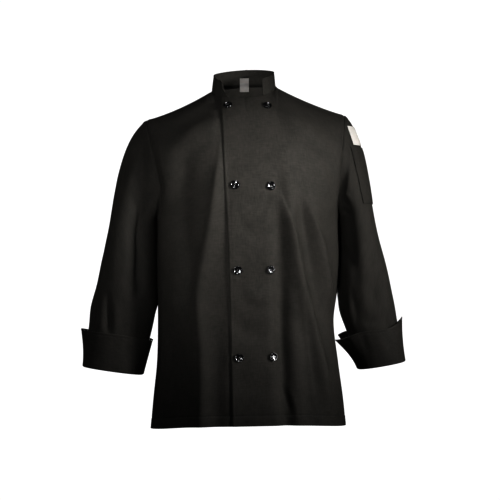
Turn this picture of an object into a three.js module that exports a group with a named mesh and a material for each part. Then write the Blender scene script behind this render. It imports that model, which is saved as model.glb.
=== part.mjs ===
// A double-breasted cotton twill jacket with a stand collar and turned-back cuffs, filled out as when worn.
// Millimetres, +Z up. The origin is the centre of the neck base. The front faces -Y, the wearer's left is +X.
import * as THREE from 'three';

// Cloth and seams
const CLOTH = 1.6;
const CUFF_CLOTH = 2.0;
const COLLAR_CLOTH = 2.2;
const LABEL_CLOTH = 1.0;
const SEAM_GAP = 0.3;
const LAYER_GAP = 0.9;

// Torso. Each row is a level section: how far the sides reach from the middle, and its depth front and back.
// Above the underarm the sides are those of the form that the armhole is cut from.
const TORSO_SECTIONS = [
  { z: -770, right: 216, left: 227, front: 166, back: 150 },
  { z: -690, right: 209, left: 219, front: 162, back: 143 },
  { z: -610, right: 201, left: 208, front: 157, back: 133 },
  { z: -520, right: 199, left: 198, front: 153, back: 125 },
  { z: -450, right: 200, left: 206, front: 155, back: 127 },
  { z: -370, right: 201, left: 211, front: 159, back: 133 },
  { z: -290, right: 201, left: 210, front: 161, back: 142 },
  { z: -230, right: 209, left: 222, front: 158, back: 145 },
  { z: -175, right: 224, left: 237, front: 150, back: 142 },
  { z: -130, right: 234, left: 245, front: 138, back: 135 },
  { z: -60, right: 246, left: 250, front: 110, back: 113 },
  { z: 0, right: 252, left: 252, front: 76, back: 92 },
  { z: 60, right: 258, left: 258, front: 60, back: 78 },
];
const TORSO_ROUNDNESS = 2.2;
const SHOULDERS = {
  right: { neckX: 76, neckZ: -2, tipX: 224, tipZ: -68, dip: 6.5 },
  left: { neckX: 70, neckZ: 5, tipX: 221, tipZ: -57, dip: 4.5 },
};
const SHOULDER_ROLL = { front: 110, back: 66 };
// The form carries on up inside the neck, so that the panels meet the neck seam at a slope.
const NECK_RISE = 40;
// How closely the panels' shift to the neck seam keeps to the neck, as the power of the height.
const NECK_BLEND = 5;
const UNDERARM_Z = -288;
const ARMHOLES = {
  right: {
    front: [
      { z: -288, x: 201 }, { z: -268, x: 194 }, { z: -228, x: 189 },
      { z: -175, x: 199 }, { z: -68, x: 224 },
    ],
    back: [
      { z: -288, x: 201 }, { z: -262, x: 196 }, { z: -200, x: 201 },
      { z: -130, x: 212 }, { z: -68, x: 224 },
    ],
  },
  left: {
    front: [
      { z: -288, x: 210 }, { z: -262, x: 205 }, { z: -232, x: 206 },
      { z: -154, x: 213 }, { z: -57, x: 221 },
    ],
    back: [
      { z: -288, x: 210 }, { z: -262, x: 205 }, { z: -200, x: 208 },
      { z: -130, x: 214 }, { z: -57, x: 221 },
    ],
  },
};
const HEM = { front: -738, side: -755, back: -762, lean: 0.016 };

// Neck. The seam is a tilted oval, low in front.
const NECK = { x: -5, halfWidth: 72, front: 76, back: 68, sideZ: 1.5 };
const NECK_SLOPE = { side: 0.048, front: 0.36, back: 0.2 };

// Fronts. The lap's free edge leans a little, and the under front runs on past the far buttons.
const LAP_EDGE = [{ z: -740, x: -28 }, { z: -400, x: -36 }, { z: -125, x: -48.5 }, { z: -15, x: -57 }];
const UNDER_EDGE = [{ z: -740, x: 84 }, { z: -20, x: 60 }];
const UNDER_STEP_WIDTH = 26;

// Largest folds. Each runs from its top to its foot with a sideways bow. A negative depth is a trough.
const FRONT_FOLDS = [
  { topX: -58, topZ: -190, footX: -100, footZ: -450, bow: 3, width: 18, depth: 8 },
  { topX: -102, topZ: -430, footX: -95, footZ: -770, bow: -3, width: 20, depth: 9 },
  { topX: -130, topZ: -165, footX: -124, footZ: -440, bow: -6, width: 21, depth: -9 },
  { topX: -160, topZ: -520, footX: -172, footZ: -770, bow: 4, width: 30, depth: -10 },
  { topX: -48, topZ: -330, footX: -54, footZ: -770, bow: -3, width: 16, depth: -5 },
  { topX: 74, topZ: -240, footX: 92, footZ: -770, bow: -6, width: 17, depth: -10 },
  { topX: 88, topZ: -215, footX: 184, footZ: -700, bow: -10, width: 16, depth: 9 },
  { topX: 148, topZ: -260, footX: 190, footZ: -470, bow: -5, width: 15, depth: 7 },
  { topX: 118, topZ: -300, footX: 150, footZ: -770, bow: -6, width: 18, depth: -4 },
];
const BACK_FOLDS = [
  { topX: -150, topZ: -250, footX: -96, footZ: -560, bow: -8, width: 24, depth: -9 },
  { topX: 150, topZ: -260, footX: 104, footZ: -540, bow: 8, width: 22, depth: -8 },
  { topX: -60, topZ: -420, footX: -78, footZ: -780, bow: 5, width: 24, depth: -10 },
  { topX: 12, topZ: -400, footX: 20, footZ: -780, bow: -5, width: 28, depth: 8 },
  { topX: 66, topZ: -450, footX: 92, footZ: -780, bow: -4, width: 22, depth: -9 },
  { topX: -140, topZ: -500, footX: -150, footZ: -780, bow: 4, width: 20, depth: 7 },
  { topX: 150, topZ: -520, footX: 156, footZ: -780, bow: -4, width: 20, depth: -7 },
];
// Folds fade near the seams at the sides and near the top, and over a share of their length at their ends.
const FOLD_FADE = { sideFrom: 4, side: 34, topFrom: 30, top: 130, ends: 0.2 };

// Sleeves. Each row is a section across the arm: its middle, half its width and half its depth.
// lean is how far the section's outer side is raised, in degrees.
const SLEEVES = {
  right: [
    { z: -330, x: -258, y: 2, halfWidth: 54, halfDepth: 77, lean: 4 },
    { z: -410, x: -266, y: -4, halfWidth: 62, halfDepth: 68, lean: 6 },
    { z: -490, x: -273.5, y: -12, halfWidth: 70, halfDepth: 58, lean: 7 },
    { z: -550, x: -284, y: -22, halfWidth: 69, halfDepth: 46, lean: 7.5 },
    { z: -628, x: -297.5, y: -34, halfWidth: 65, halfDepth: 36, lean: 8 },
  ],
  left: [
    { z: -330, x: 255, y: 4, halfWidth: 42, halfDepth: 78, lean: 4 },
    { z: -410, x: 265, y: 2, halfWidth: 52.5, halfDepth: 72, lean: 6 },
    { z: -480, x: 270, y: -4, halfWidth: 62, halfDepth: 62, lean: 6.5 },
    { z: -540, x: 284, y: -16, halfWidth: 57, halfDepth: 52, lean: 7 },
    { z: -616, x: 303, y: -32, halfWidth: 51, halfDepth: 42, lean: 10 },
  ],
};
const SLEEVE_ROUNDNESS = 2.2;
// Round the armhole from the shoulder tip, the front and then the underarm: how far the sleeve turns off the
// panel, and how strongly it keeps that way, as a share of its length to the first section.
const SLEEVE_SETTING = [
  { angle: 0, turn: -24, carry: 0.9 },
  { angle: 45, turn: -8, carry: 0.9 },
  { angle: 90, turn: 24, carry: 0.8 },
  { angle: 125, turn: 62, carry: 0.7 },
  { angle: 155, turn: 120, carry: 0.6 },
  { angle: 180, turn: 172, carry: 0.5 },
];
// How strongly the sleeve arrives at its first section, along the arm as measured over this step down.
const SLEEVE_ARRIVAL = { carry: 0.9, step: 30 };
const SLEEVE_FULLNESS = { right: 1.07, left: 0.8 };
// Folds along the arm. The angle runs from the outer side to the front, and the stretch goes by height.
const SLEEVE_FOLD_ENDS = 60;
const SLEEVE_FOLDS = {
  right: [
    { angle: 62, topZ: -150, footZ: -430, width: 16, depth: 5 },
    { angle: 118, topZ: -200, footZ: -470, width: 18, depth: -9 },
    { angle: 34, topZ: -470, footZ: -640, width: 9, depth: -6 },
    { angle: 14, topZ: -430, footZ: -545, width: 10, depth: 4 },
    { angle: 250, topZ: -260, footZ: -480, width: 20, depth: -8 },
  ],
  left: [
    { angle: 96, topZ: -150, footZ: -520, width: 14, depth: 6 },
    { angle: 122, topZ: -230, footZ: -420, width: 16, depth: -8 },
    { angle: 58, topZ: -480, footZ: -620, width: 14, depth: -5 },
    { angle: 262, topZ: -250, footZ: -500, width: 20, depth: -8 },
  ],
};

// Cuffs. The table gives, round the arm, how far the top edge stands off the sleeve and how much it rises.
const CUFF = { height: 80, drop: 1, clearance: 0.6, curl: 1.7 };
const CUFF_SPLIT = { angle: 187.5, halfFoot: 3, halfTop: 12, lift: 2.4, liftWidth: 22, nextPoint: 4 };
const CUFF_EDGES = {
  right: [
    { angle: 0, stand: 15, rise: 2 },
    { angle: 26, stand: 5, rise: 0 },
    { angle: 90, stand: 2, rise: 2 },
    { angle: 150, stand: 2, rise: -2 },
    { angle: 180, stand: 4, rise: -4 },
    { angle: 215, stand: 8, rise: -2 },
    { angle: 270, stand: 3, rise: 0 },
    { angle: 334, stand: 6, rise: 0 },
    { angle: 360, stand: 15, rise: 2 },
  ],
  left: [
    { angle: 0, stand: 11, rise: 19 },
    { angle: 26, stand: 5, rise: 10 },
    { angle: 60, stand: 2, rise: 0 },
    { angle: 120, stand: 4, rise: -2 },
    { angle: 160, stand: 17, rise: -12 },
    { angle: 178, stand: 29, rise: -13 },
    { angle: 215, stand: 14, rise: -2 },
    { angle: 270, stand: 4, rise: 0 },
    { angle: 334, stand: 6, rise: 6 },
    { angle: 360, stand: 11, rise: 19 },
  ],
};

// Collar, with the angle measured from the front towards the wearer's left.
// turn is how far it stands up off the panels, and tuck how far its under end is set in behind the lap.
const COLLAR = { front: 38, side: 35, back: 37, taper: 0.95 };
const COLLAR_SEAM = { turn: 42, gap: 0.8, tuck: 0.8 };
const COLLAR_ENDS = { left: { foot: 37, top: 37 }, right: { foot: -29, top: -46 } };

// Pieces sewn on. Those on the sleeve are placed by the angle from its outer side to the front.
const POCKET = { fromAngle: 4, toAngle: 64, topZ: -132, footZ: -258, cloth: CLOTH };
const SLEEVE_PATCH = { fromAngle: 8, toAngle: 62, topZ: -84, footZ: -127, cloth: LABEL_CLOTH };
const PATCH_GAP = 0.85;
const ARM_AXIS = [{ z: -80, x: 205, y: 0 }, { z: -330, x: 252, y: 8 }];
const NECK_LABEL = { x: -4, width: 21, topZ: 34, footZ: 2, gap: 0.9 };
const BUTTON = { radius: 9.5, foot: 8.3, waist: 1.9, height: 4.2, rim: 2.2, dish: 1.3, step: 0.5 };
const BUTTON_SIDES = 12;
const BUTTON_GAP = 0.3;
const BUTTONS = [
  { x: -39, z: -45 }, { x: 46.5, z: -45 },
  { x: -23, z: -221 }, { x: 54, z: -223 },
  { x: -17, z: -404 }, { x: 53, z: -403 },
  { x: -14, z: -592 }, { x: 59, z: -590 },
];

// Number of cells across and along each piece
const CELLS = {
  back: { across: 24, below: 9, above: 12 },
  leftFront: { across: 22, below: 11, above: 12 },
  rightFront: { across: 18, below: 11, above: 12 },
  sleeve: { round: 24, cap: 7, arm: 9 },
  cuff: { round: 24, along: 3 },
  collar: { round: 30, along: 2 },
  pocket: { across: 9, along: 16 },
  sleevePatch: { across: 7, along: 6 },
  neckLabel: { across: 4, along: 4 },
};
// Small steps over which slopes are measured, in millimetres and in radians
const STEP = { place: 0.5, armhole: 0.02, neck: 0.01 };

const TWILL = { color: 0x2b2a27, roughness: 0.86, metalness: 0, side: THREE.DoubleSide };
const LABEL = { color: 0xdad7d0, roughness: 0.8, metalness: 0 };
const PLASTIC = { color: 0x0d0d0e, roughness: 0.25, metalness: 0 };

const degrees = THREE.MathUtils.degToRad;
const { lerp, clamp, smoothstep } = THREE.MathUtils;

// Reads a named column of a table at a place along its key column, with soft joins between the rows.
function readTable(table, key, place, column) {
  const rows = table[0][key] <= table[table.length - 1][key] ? table : [...table].reverse();
  const last = rows.length - 1;
  if (place <= rows[0][key]) return rows[0][column];
  if (place >= rows[last][key]) return rows[last][column];
  const below = rows.findLastIndex((row) => row[key] <= place);
  const span = rows[below + 1][key] - rows[below][key];
  const share = (place - rows[below][key]) / span;
  const slope = (index) => {
    if (index <= 0 || index >= last) return null;
    const run = rows[index + 1][key] - rows[index - 1][key];
    return (rows[index + 1][column] - rows[index - 1][column]) / run;
  };
  const rise = (rows[below + 1][column] - rows[below][column]) / span;
  const slopeIn = slope(below) ?? rise;
  const slopeOut = slope(below + 1) ?? rise;
  const cube = share ** 3;
  const square = share ** 2;
  return (2 * cube - 3 * square + 1) * rows[below][column]
    + (cube - 2 * square + share) * span * slopeIn
    + (3 * square - 2 * cube) * rows[below + 1][column]
    + (cube - square) * span * slopeOut;
}

const sideOf = (x) => (x < 0 ? 'right' : 'left');

// Height of the shoulder seam over a place, carried on past the neck and past the tip.
function ridgeZ(x) {
  const seam = SHOULDERS[sideOf(x)];
  const reach = Math.abs(x);
  if (reach < seam.neckX) return seam.neckZ + NECK_RISE * (1 - (reach / seam.neckX) ** 2);
  const share = (reach - seam.neckX) / (seam.tipX - seam.neckX);
  const dip = share < 1 ? seam.dip * 4 * share * (1 - share) : 0;
  return lerp(seam.neckZ, seam.tipZ, share) - dip;
}

// Square of the torso's depth at a place seen from the front. Zero on the shoulder seam and on the side seam.
function depthSquared(x, z, face) {
  const reach = readTable(TORSO_SECTIONS, 'z', z, sideOf(x));
  const depth = readTable(TORSO_SECTIONS, 'z', z, face);
  const round = Math.max(0, 1 - (Math.abs(x) / reach) ** TORSO_ROUNDNESS) ** (2 / TORSO_ROUNDNESS);
  const below = clamp((ridgeZ(x) - z) / SHOULDER_ROLL[face], 0, 1);
  return depth ** 2 * round * (1 - (1 - below) ** 2);
}

const facing = (face) => (face === 'front' ? -1 : 1);

function torsoPoint(x, z, face) {
  return new THREE.Vector3(x, facing(face) * Math.sqrt(depthSquared(x, z, face)), z);
}

function torsoNormal(x, z, face) {
  const step = STEP.place;
  const depth = Math.sqrt(depthSquared(x, z, face));
  const slopeX = (depthSquared(x + step, z, face) - depthSquared(x - step, z, face)) / (2 * step);
  const slopeZ = (depthSquared(x, z + step, face) - depthSquared(x, z - step, face)) / (2 * step);
  return new THREE.Vector3(-slopeX, 2 * facing(face) * depth, -slopeZ).normalize();
}

// Sum of the folds at a place, fading to nothing at the side, shoulder and neck seams.
function foldAt(x, z, face) {
  const folds = face === 'front' ? FRONT_FOLDS : BACK_FOLDS;
  const side = sideOf(x);
  const fromSide = panelSide(z, side, face) - Math.abs(x);
  const sideFade = smoothstep(fromSide, FOLD_FADE.sideFrom, FOLD_FADE.side);
  const topFade = smoothstep(ridgeZ(x) - z, FOLD_FADE.topFrom, FOLD_FADE.top);
  const ends = FOLD_FADE.ends;
  return sideFade * topFade * folds.reduce((sum, fold) => {
    const along = (fold.topZ - z) / (fold.topZ - fold.footZ);
    if (along < -ends || along > 1 + ends) return sum;
    const middle = lerp(fold.topX, fold.footX, along) + fold.bow * 4 * along * (1 - along);
    const start = smoothstep(along, -ends, ends);
    const end = fold.footZ <= HEM.front ? 1 : 1 - smoothstep(along, 1 - ends, 1 + ends);
    return sum + fold.depth * start * end * Math.exp(-(((x - middle) / fold.width) ** 2));
  }, 0);
}

// The neck seam, by its angle from the front towards the wearer's left.
function neckPoint(angle) {
  const x = NECK.x + NECK.halfWidth * Math.sin(angle);
  const reach = Math.cos(angle) > 0 ? NECK.front : NECK.back;
  const slope = Math.cos(angle) > 0 ? NECK_SLOPE.front : NECK_SLOPE.back;
  const y = -reach * Math.cos(angle);
  return new THREE.Vector3(x, y, NECK.sideZ + NECK_SLOPE.side * x + slope * y);
}

const neckAngle = (x) => Math.asin(clamp((x - NECK.x) / NECK.halfWidth, -1, 1));

// Where a panel ends at the top: on the neck seam near the middle and on the shoulder seam further out.
function topOf(x, face) {
  const neckX = NECK.x + Math.sign(x - NECK.x) * NECK.halfWidth;
  const overNeck = Math.abs(x - NECK.x) < NECK.halfWidth;
  if (!overNeck) return new THREE.Vector3(x, 0, Math.min(ridgeZ(x), ridgeZ(neckX)));
  const angle = face === 'front' ? neckAngle(x) : Math.PI - neckAngle(x);
  return neckPoint(angle);
}

function hemZ(x, face) {
  const share = Math.abs(x) / readTable(TORSO_SECTIONS, 'z', HEM.side, sideOf(x));
  return lerp(HEM[face], HEM.side, clamp(share, 0, 1) ** 3) + HEM.lean * x;
}

// Closed wall between an outer grid of points and the same grid moved in along its normals.
function wallGeometry(points, normals, thickness, closed = false) {
  const rows = points.length;
  const columns = points[0].length;
  const positions = [];
  points.forEach((row) => row.forEach((point) => positions.push(...point.toArray())));
  points.forEach((row, j) => row.forEach((point, i) => {
    positions.push(...point.clone().addScaledVector(normals[j][i], -thickness).toArray());
  }));
  const outer = (j, i) => j * columns + (i % columns);
  const inner = (j, i) => rows * columns + outer(j, i);
  const faces = [];
  const quad = (a, b, c, d) => faces.push(a, b, c, a, c, d);
  const cells = closed ? columns : columns - 1;
  for (let j = 0; j < rows - 1; j += 1) {
    for (let i = 0; i < cells; i += 1) {
      quad(outer(j, i), outer(j, i + 1), outer(j + 1, i + 1), outer(j + 1, i));
      quad(inner(j, i), inner(j + 1, i), inner(j + 1, i + 1), inner(j, i + 1));
    }
  }
  for (let i = 0; i < cells; i += 1) {
    quad(outer(0, i + 1), outer(0, i), inner(0, i), inner(0, i + 1));
    quad(outer(rows - 1, i), outer(rows - 1, i + 1), inner(rows - 1, i + 1), inner(rows - 1, i));
  }
  for (let j = 0; j < rows - 1 && !closed; j += 1) {
    quad(outer(j, 0), outer(j + 1, 0), inner(j + 1, 0), inner(j, 0));
    quad(outer(j + 1, columns - 1), outer(j, columns - 1), inner(j, columns - 1), inner(j + 1, columns - 1));
  }
  const geometry = new THREE.BufferGeometry();
  geometry.setAttribute('position', new THREE.Float32BufferAttribute(positions, 3));
  geometry.setIndex(signedVolume(positions, faces) > 0 ? faces : faces.reverse());
  geometry.computeVertexNormals();
  return geometry;
}

function signedVolume(positions, faces) {
  const corner = (index) => new THREE.Vector3().fromArray(positions, 3 * index);
  let volume = 0;
  for (let f = 0; f < faces.length; f += 3) {
    volume += corner(faces[f]).dot(corner(faces[f + 1]).cross(corner(faces[f + 2]))) / 6;
  }
  return volume;
}

// Normals of a grid from its own neighbours. They point the way that the guide gives for each place.
function gridNormals(points, closed, guide) {
  const rows = points.length;
  const columns = points[0].length;
  return points.map((row, j) => row.map((point, i) => {
    const before = closed ? row[(i + columns - 1) % columns] : row[Math.max(i - 1, 0)];
    const after = closed ? row[(i + 1) % columns] : row[Math.min(i + 1, columns - 1)];
    const below = points[Math.max(j - 1, 0)][i];
    const above = points[Math.min(j + 1, rows - 1)][i];
    const normal = after.clone().sub(before).cross(above.clone().sub(below)).normalize();
    return normal.dot(guide(j, i)) < 0 ? normal.negate() : normal;
  }));
}

function piece(name, geometry, finish) {
  const mesh = new THREE.Mesh(geometry, new THREE.MeshStandardMaterial(finish));
  mesh.name = name;
  return mesh;
}

// Heights of a panel's rows: even below the underarm, then at even angles round the armhole like a sleeve's.
function rowHeights(cells, foot, top) {
  const heights = [];
  for (let j = 0; j < cells.below; j += 1) heights.push(lerp(foot, UNDERARM_Z, j / cells.below));
  for (let j = 0; j <= cells.above; j += 1) {
    heights.push(lerp(UNDERARM_Z, top, (1 - Math.cos((Math.PI * j) / cells.above)) / 2));
  }
  return heights;
}

// Half width of a panel at a height: the side seam below the underarm and the armhole seam above it.
function panelSide(z, side, face) {
  if (z <= UNDERARM_Z) return readTable(TORSO_SECTIONS, 'z', z, side);
  return readTable(ARMHOLES[side][face], 'z', Math.min(z, SHOULDERS[side].tipZ), 'x');
}

// How far a place is moved forward or back so that the panel's top lies on the neck seam.
function neckShift(x, z, face) {
  const top = topOf(x, face);
  const nearTop = clamp((z - UNDERARM_Z) / (top.z - UNDERARM_Z), 0, 1) ** NECK_BLEND;
  return (top.y - torsoPoint(x, top.z, face).y) * nearTop;
}

// Point and normal of a torso panel. inward sinks it below the outer layer, and the seams are drawn back.
function panelCell(x, z, face, inward = 0) {
  const point = torsoPoint(x, z, face);
  const normal = torsoNormal(x, z, face);
  point.y += neckShift(x, z, face);
  point.addScaledVector(normal, foldAt(x, z, face) - inward);
  if (face === 'front') point.y = Math.min(point.y, -SEAM_GAP / 2);
  else point.y = Math.max(point.y, SEAM_GAP / 2);
  return { point, normal };
}

// Builds a panel between two edges, each a function of height that gives the place across.
function torsoPanel(cells, face, fromEdge, toEdge, inwardAt) {
  const points = [];
  const normals = [];
  const across = [...Array(cells.across + 1).keys()].map((i) => i / cells.across);
  const columns = across.map((share) => {
    const topX = lerp(fromEdge(Infinity), toEdge(Infinity), share);
    const footX = lerp(fromEdge(HEM.side), toEdge(HEM.side), share);
    return { share, heights: rowHeights(cells, hemZ(footX, face), topOf(topX, face).z) };
  });
  for (let j = 0; j <= cells.below + cells.above; j += 1) {
    const rowPoints = [];
    const rowNormals = [];
    columns.forEach(({ share, heights }) => {
      const z = heights[j];
      const x = lerp(fromEdge(z), toEdge(z), share);
      const cell = panelCell(x, z, face, inwardAt(x, z));
      rowPoints.push(cell.point);
      rowNormals.push(cell.normal);
    });
    points.push(rowPoints);
    normals.push(rowNormals);
  }
  return wallGeometry(points, normals, CLOTH);
}

// The seam where one piece leaves another: its start, the way it goes and the way it faces.
function leaveSeam(edge, normal, outward, turn, gap) {
  const bend = degrees(turn);
  const kept = Math.max(bend, 0);
  const start = edge.clone()
    .addScaledVector(outward, gap * Math.cos(kept / 2))
    .addScaledVector(normal, gap * Math.sin(kept / 2));
  const way = outward.clone().multiplyScalar(Math.cos(bend)).addScaledVector(normal, Math.sin(bend));
  const face = normal.clone().multiplyScalar(Math.cos(kept)).addScaledVector(outward, -Math.sin(kept));
  return { start, way: way.normalize(), face: face.normalize() };
}

const armSign = (side) => (side === 'right' ? -1 : 1);

// A place on the armhole seam, by its angle from the shoulder tip round the front, with its panel's normal.
function armholePlace(side, angle) {
  const down = (1 - Math.cos(angle)) / 2;
  const z = lerp(SHOULDERS[side].tipZ, UNDERARM_Z, down);
  const face = Math.sin(angle) >= 0 ? 'front' : 'back';
  const x = armSign(side) * readTable(ARMHOLES[side][face], 'z', z, 'x');
  return { edge: torsoPoint(x, z, face), normal: torsoNormal(x, z, face) };
}

function armholeSeam(side, angle) {
  const step = STEP.armhole;
  const { edge, normal } = armholePlace(side, angle);
  const along = armholePlace(side, angle + step).edge.sub(armholePlace(side, angle - step).edge);
  const outward = along.cross(normal).multiplyScalar(-armSign(side)).normalize();
  const setting = 180 - Math.abs(180 - THREE.MathUtils.radToDeg(angle));
  const turn = readTable(SLEEVE_SETTING, 'angle', setting, 'turn');
  const carry = readTable(SLEEVE_SETTING, 'angle', setting, 'carry') * SLEEVE_FULLNESS[side];
  return { ...leaveSeam(edge, normal, outward, turn, SEAM_GAP), carry };
}

// A point on a sleeve's section, by the angle from the outer side round the front. grow lets a cuff out.
function sectionPoint(side, z, angle, grow = 0) {
  const read = (column) => readTable(SLEEVES[side], 'z', z, column);
  const power = 2 / SLEEVE_ROUNDNESS;
  const outer = Math.sign(Math.cos(angle)) * Math.abs(Math.cos(angle)) ** power * (read('halfWidth') + grow);
  const front = Math.sign(Math.sin(angle)) * Math.abs(Math.sin(angle)) ** power * (read('halfDepth') + grow);
  const lean = degrees(read('lean'));
  const x = read('x') + armSign(side) * outer * Math.cos(lean);
  return new THREE.Vector3(x, read('y') - front, z + outer * Math.sin(lean));
}

// A cubic sweep from the armhole seam down to the first section of the arm.
function capPoint(side, angle, share) {
  const seam = armholeSeam(side, angle);
  const firstZ = SLEEVES[side][0].z;
  const end = sectionPoint(side, firstZ, angle);
  const length = end.distanceTo(seam.start);
  const arrival = sectionPoint(side, firstZ - SLEEVE_ARRIVAL.step, angle).sub(end);
  arrival.setLength(length * SLEEVE_ARRIVAL.carry);
  const leaving = seam.way.multiplyScalar(length * seam.carry);
  const cube = share ** 3;
  const square = share ** 2;
  return seam.start.multiplyScalar(2 * cube - 3 * square + 1)
    .addScaledVector(leaving, cube - 2 * square + share)
    .addScaledVector(end, 3 * square - 2 * cube)
    .addScaledVector(arrival, cube - square);
}

function sleeveFoldAt(side, angle, z) {
  return SLEEVE_FOLDS[side].reduce((sum, fold) => {
    const apart = Math.abs(THREE.MathUtils.radToDeg(angle) - fold.angle);
    const around = degrees(Math.min(apart, 360 - apart)) * readTable(SLEEVES[side], 'z', z, 'halfWidth');
    const fromTop = smoothstep(fold.topZ - z, 0, SLEEVE_FOLD_ENDS);
    const ends = fromTop * smoothstep(z - fold.footZ, 0, SLEEVE_FOLD_ENDS);
    return sum + fold.depth * ends * Math.exp(-((around / fold.width) ** 2));
  }, 0);
}

function centreOf(row) {
  const sum = new THREE.Vector3();
  row.forEach((point) => sum.add(point));
  return sum.divideScalar(row.length);
}

function sleeve(side) {
  const { round, cap, arm } = CELLS.sleeve;
  const angles = [...Array(round).keys()].map((i) => (2 * Math.PI * i) / round);
  const [first, last] = [SLEEVES[side][0].z, SLEEVES[side].at(-1).z];
  const rows = [];
  for (let j = 0; j < cap; j += 1) rows.push(angles.map((angle) => capPoint(side, angle, j / cap)));
  for (let j = 0; j <= arm; j += 1) {
    const z = lerp(first, last, j / arm);
    rows.push(angles.map((angle) => sectionPoint(side, z, angle)));
  }
  const guide = (grid) => (j, i) => grid[j][i].clone().sub(centreOf(grid[j]));
  const smoothNormals = gridNormals(rows, true, guide(rows));
  rows.forEach((row, j) => row.forEach((point, i) => {
    if (j > 0) point.addScaledVector(smoothNormals[j][i], sleeveFoldAt(side, angles[i], point.z));
  }));
  const normals = gridNormals(rows, true, guide(rows));
  normals[0] = angles.map((angle) => armholeSeam(side, angle).face);
  return wallGeometry(rows, normals, CLOTH, true);
}

// A band round the sleeve's end, turned back up over it and split where it faces the body.
function cuff(side) {
  const { round, along } = CELLS.cuff;
  const stops = [...Array(round).keys()].map((i) => (360 * i) / round);
  const nearest = CUFF_SPLIT.halfTop + CUFF_SPLIT.nextPoint;
  const ahead = stops.filter((angle) => angle > CUFF_SPLIT.angle + nearest);
  const behind = stops.filter((angle) => angle < CUFF_SPLIT.angle - nearest).map((angle) => angle + 360);
  const endZ = SLEEVES[side].at(-1).z;
  const rows = [];
  for (let j = 0; j <= along; j += 1) {
    const up = j / along;
    const half = lerp(CUFF_SPLIT.halfFoot, CUFF_SPLIT.halfTop, up);
    const angles = [CUFF_SPLIT.angle + half, ...ahead, ...behind, CUFF_SPLIT.angle + 360 - half];
    rows.push(angles.map((angle) => {
      const turned = angle % 360;
      const stand = readTable(CUFF_EDGES[side], 'angle', turned, 'stand') * up ** CUFF.curl;
      const rise = readTable(CUFF_EDGES[side], 'angle', turned, 'rise') * up;
      const lift = CUFF_SPLIT.lift * Math.exp(-(((turned - CUFF_SPLIT.angle) / CUFF_SPLIT.liftWidth) ** 2));
      const grow = CUFF.clearance + CUFF_CLOTH + stand + lift;
      return sectionPoint(side, endZ - CUFF.drop + CUFF.height * up + rise, degrees(turned), grow);
    }));
  }
  const normals = gridNormals(rows, false, (j, i) => rows[j][i].clone().sub(centreOf(rows[j])));
  return wallGeometry(rows, normals, CUFF_CLOTH);
}

// How far the under front is sunk below the lap at a place across.
function underlap(x, z) {
  const edge = readTable(LAP_EDGE, 'z', z, 'x');
  return (CLOTH + LAYER_GAP) * smoothstep(x - edge, -UNDER_STEP_WIDTH, -4);
}

function front(side) {
  const outerSide = (z) => armSign(side) * panelSide(z, side, 'front');
  const lapEdge = (z) => readTable(LAP_EDGE, 'z', z, 'x');
  const underEdge = (z) => readTable(UNDER_EDGE, 'z', z, 'x');
  if (side === 'left') return torsoPanel(CELLS.leftFront, 'front', lapEdge, outerSide, () => 0);
  return torsoPanel(CELLS.rightFront, 'front', outerSide, underEdge, underlap);
}

function back() {
  const from = (z) => -panelSide(z, 'right', 'back');
  const to = (z) => panelSide(z, 'left', 'back');
  return torsoPanel(CELLS.back, 'back', from, to, () => 0);
}

// The collar's seam at an angle round the neck. Its right end stands on the under front.
function collarSeam(angle) {
  const step = STEP.neck;
  const edge = neckPoint(angle);
  const face = Math.cos(angle) > 0 ? 'front' : 'back';
  const normal = torsoNormal(edge.x, Math.min(edge.z, ridgeZ(edge.x) - STEP.place), face);
  const along = neckPoint(angle + step).sub(neckPoint(angle - step));
  const outward = along.cross(normal).normalize();
  if (outward.z < 0) outward.negate();
  const sunk = underlap(edge.x, edge.z);
  if (face === 'front' && angle > Math.PI && sunk > 0) {
    edge.addScaledVector(normal, -sunk);
    edge.y += COLLAR_SEAM.tuck;
  }
  return leaveSeam(edge, normal, outward, COLLAR_SEAM.turn, COLLAR_SEAM.gap);
}

function collarPoint(share, up) {
  const foot = lerp(COLLAR_ENDS.left.foot, 360 + COLLAR_ENDS.right.foot, share);
  const top = lerp(COLLAR_ENDS.left.top, 360 + COLLAR_ENDS.right.top, share);
  const angle = degrees(lerp(foot, top, up));
  const { start } = collarSeam(angle);
  const sideways = Math.abs(Math.sin(angle));
  const endHeight = Math.cos(angle) > 0 ? COLLAR.front : COLLAR.back;
  const height = lerp(endHeight, COLLAR.side, sideways ** 2);
  const drawn = lerp(1, COLLAR.taper, up);
  return new THREE.Vector3(NECK.x + (start.x - NECK.x) * drawn, start.y * drawn, start.z + height * up);
}

function collar() {
  const { round, along } = CELLS.collar;
  const rows = [];
  for (let j = 0; j <= along; j += 1) {
    rows.push([...Array(round + 1).keys()].map((i) => collarPoint(i / round, j / along)));
  }
  const fromMiddle = (j, i) => new THREE.Vector3(rows[j][i].x - NECK.x, rows[j][i].y, 0);
  return wallGeometry(rows, gridNormals(rows, false, fromMiddle), COLLAR_CLOTH);
}

// A piece laid on a sleeve: rays from the arm's middle find the cloth, and the piece stands just off it.
function sleevePiece(size, cells, sleeveMesh) {
  const caster = new THREE.Raycaster();
  const rows = [];
  const normals = [];
  for (let j = 0; j <= cells.along; j += 1) {
    const z = lerp(size.footZ, size.topZ, j / cells.along);
    const middle = new THREE.Vector3(readTable(ARM_AXIS, 'z', z, 'x'), readTable(ARM_AXIS, 'z', z, 'y'), z);
    const ways = [...Array(cells.across + 1).keys()].map((i) => {
      const angle = degrees(lerp(size.fromAngle, size.toAngle, i / cells.across));
      return new THREE.Vector3(Math.cos(angle), -Math.sin(angle), 0);
    });
    rows.push(ways.map((way) => {
      caster.set(middle, way);
      const hit = caster.intersectObject(sleeveMesh).at(-1).point;
      return hit.addScaledVector(way, PATCH_GAP + size.cloth);
    }));
    normals.push(ways);
  }
  return wallGeometry(rows, normals, size.cloth);
}

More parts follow.
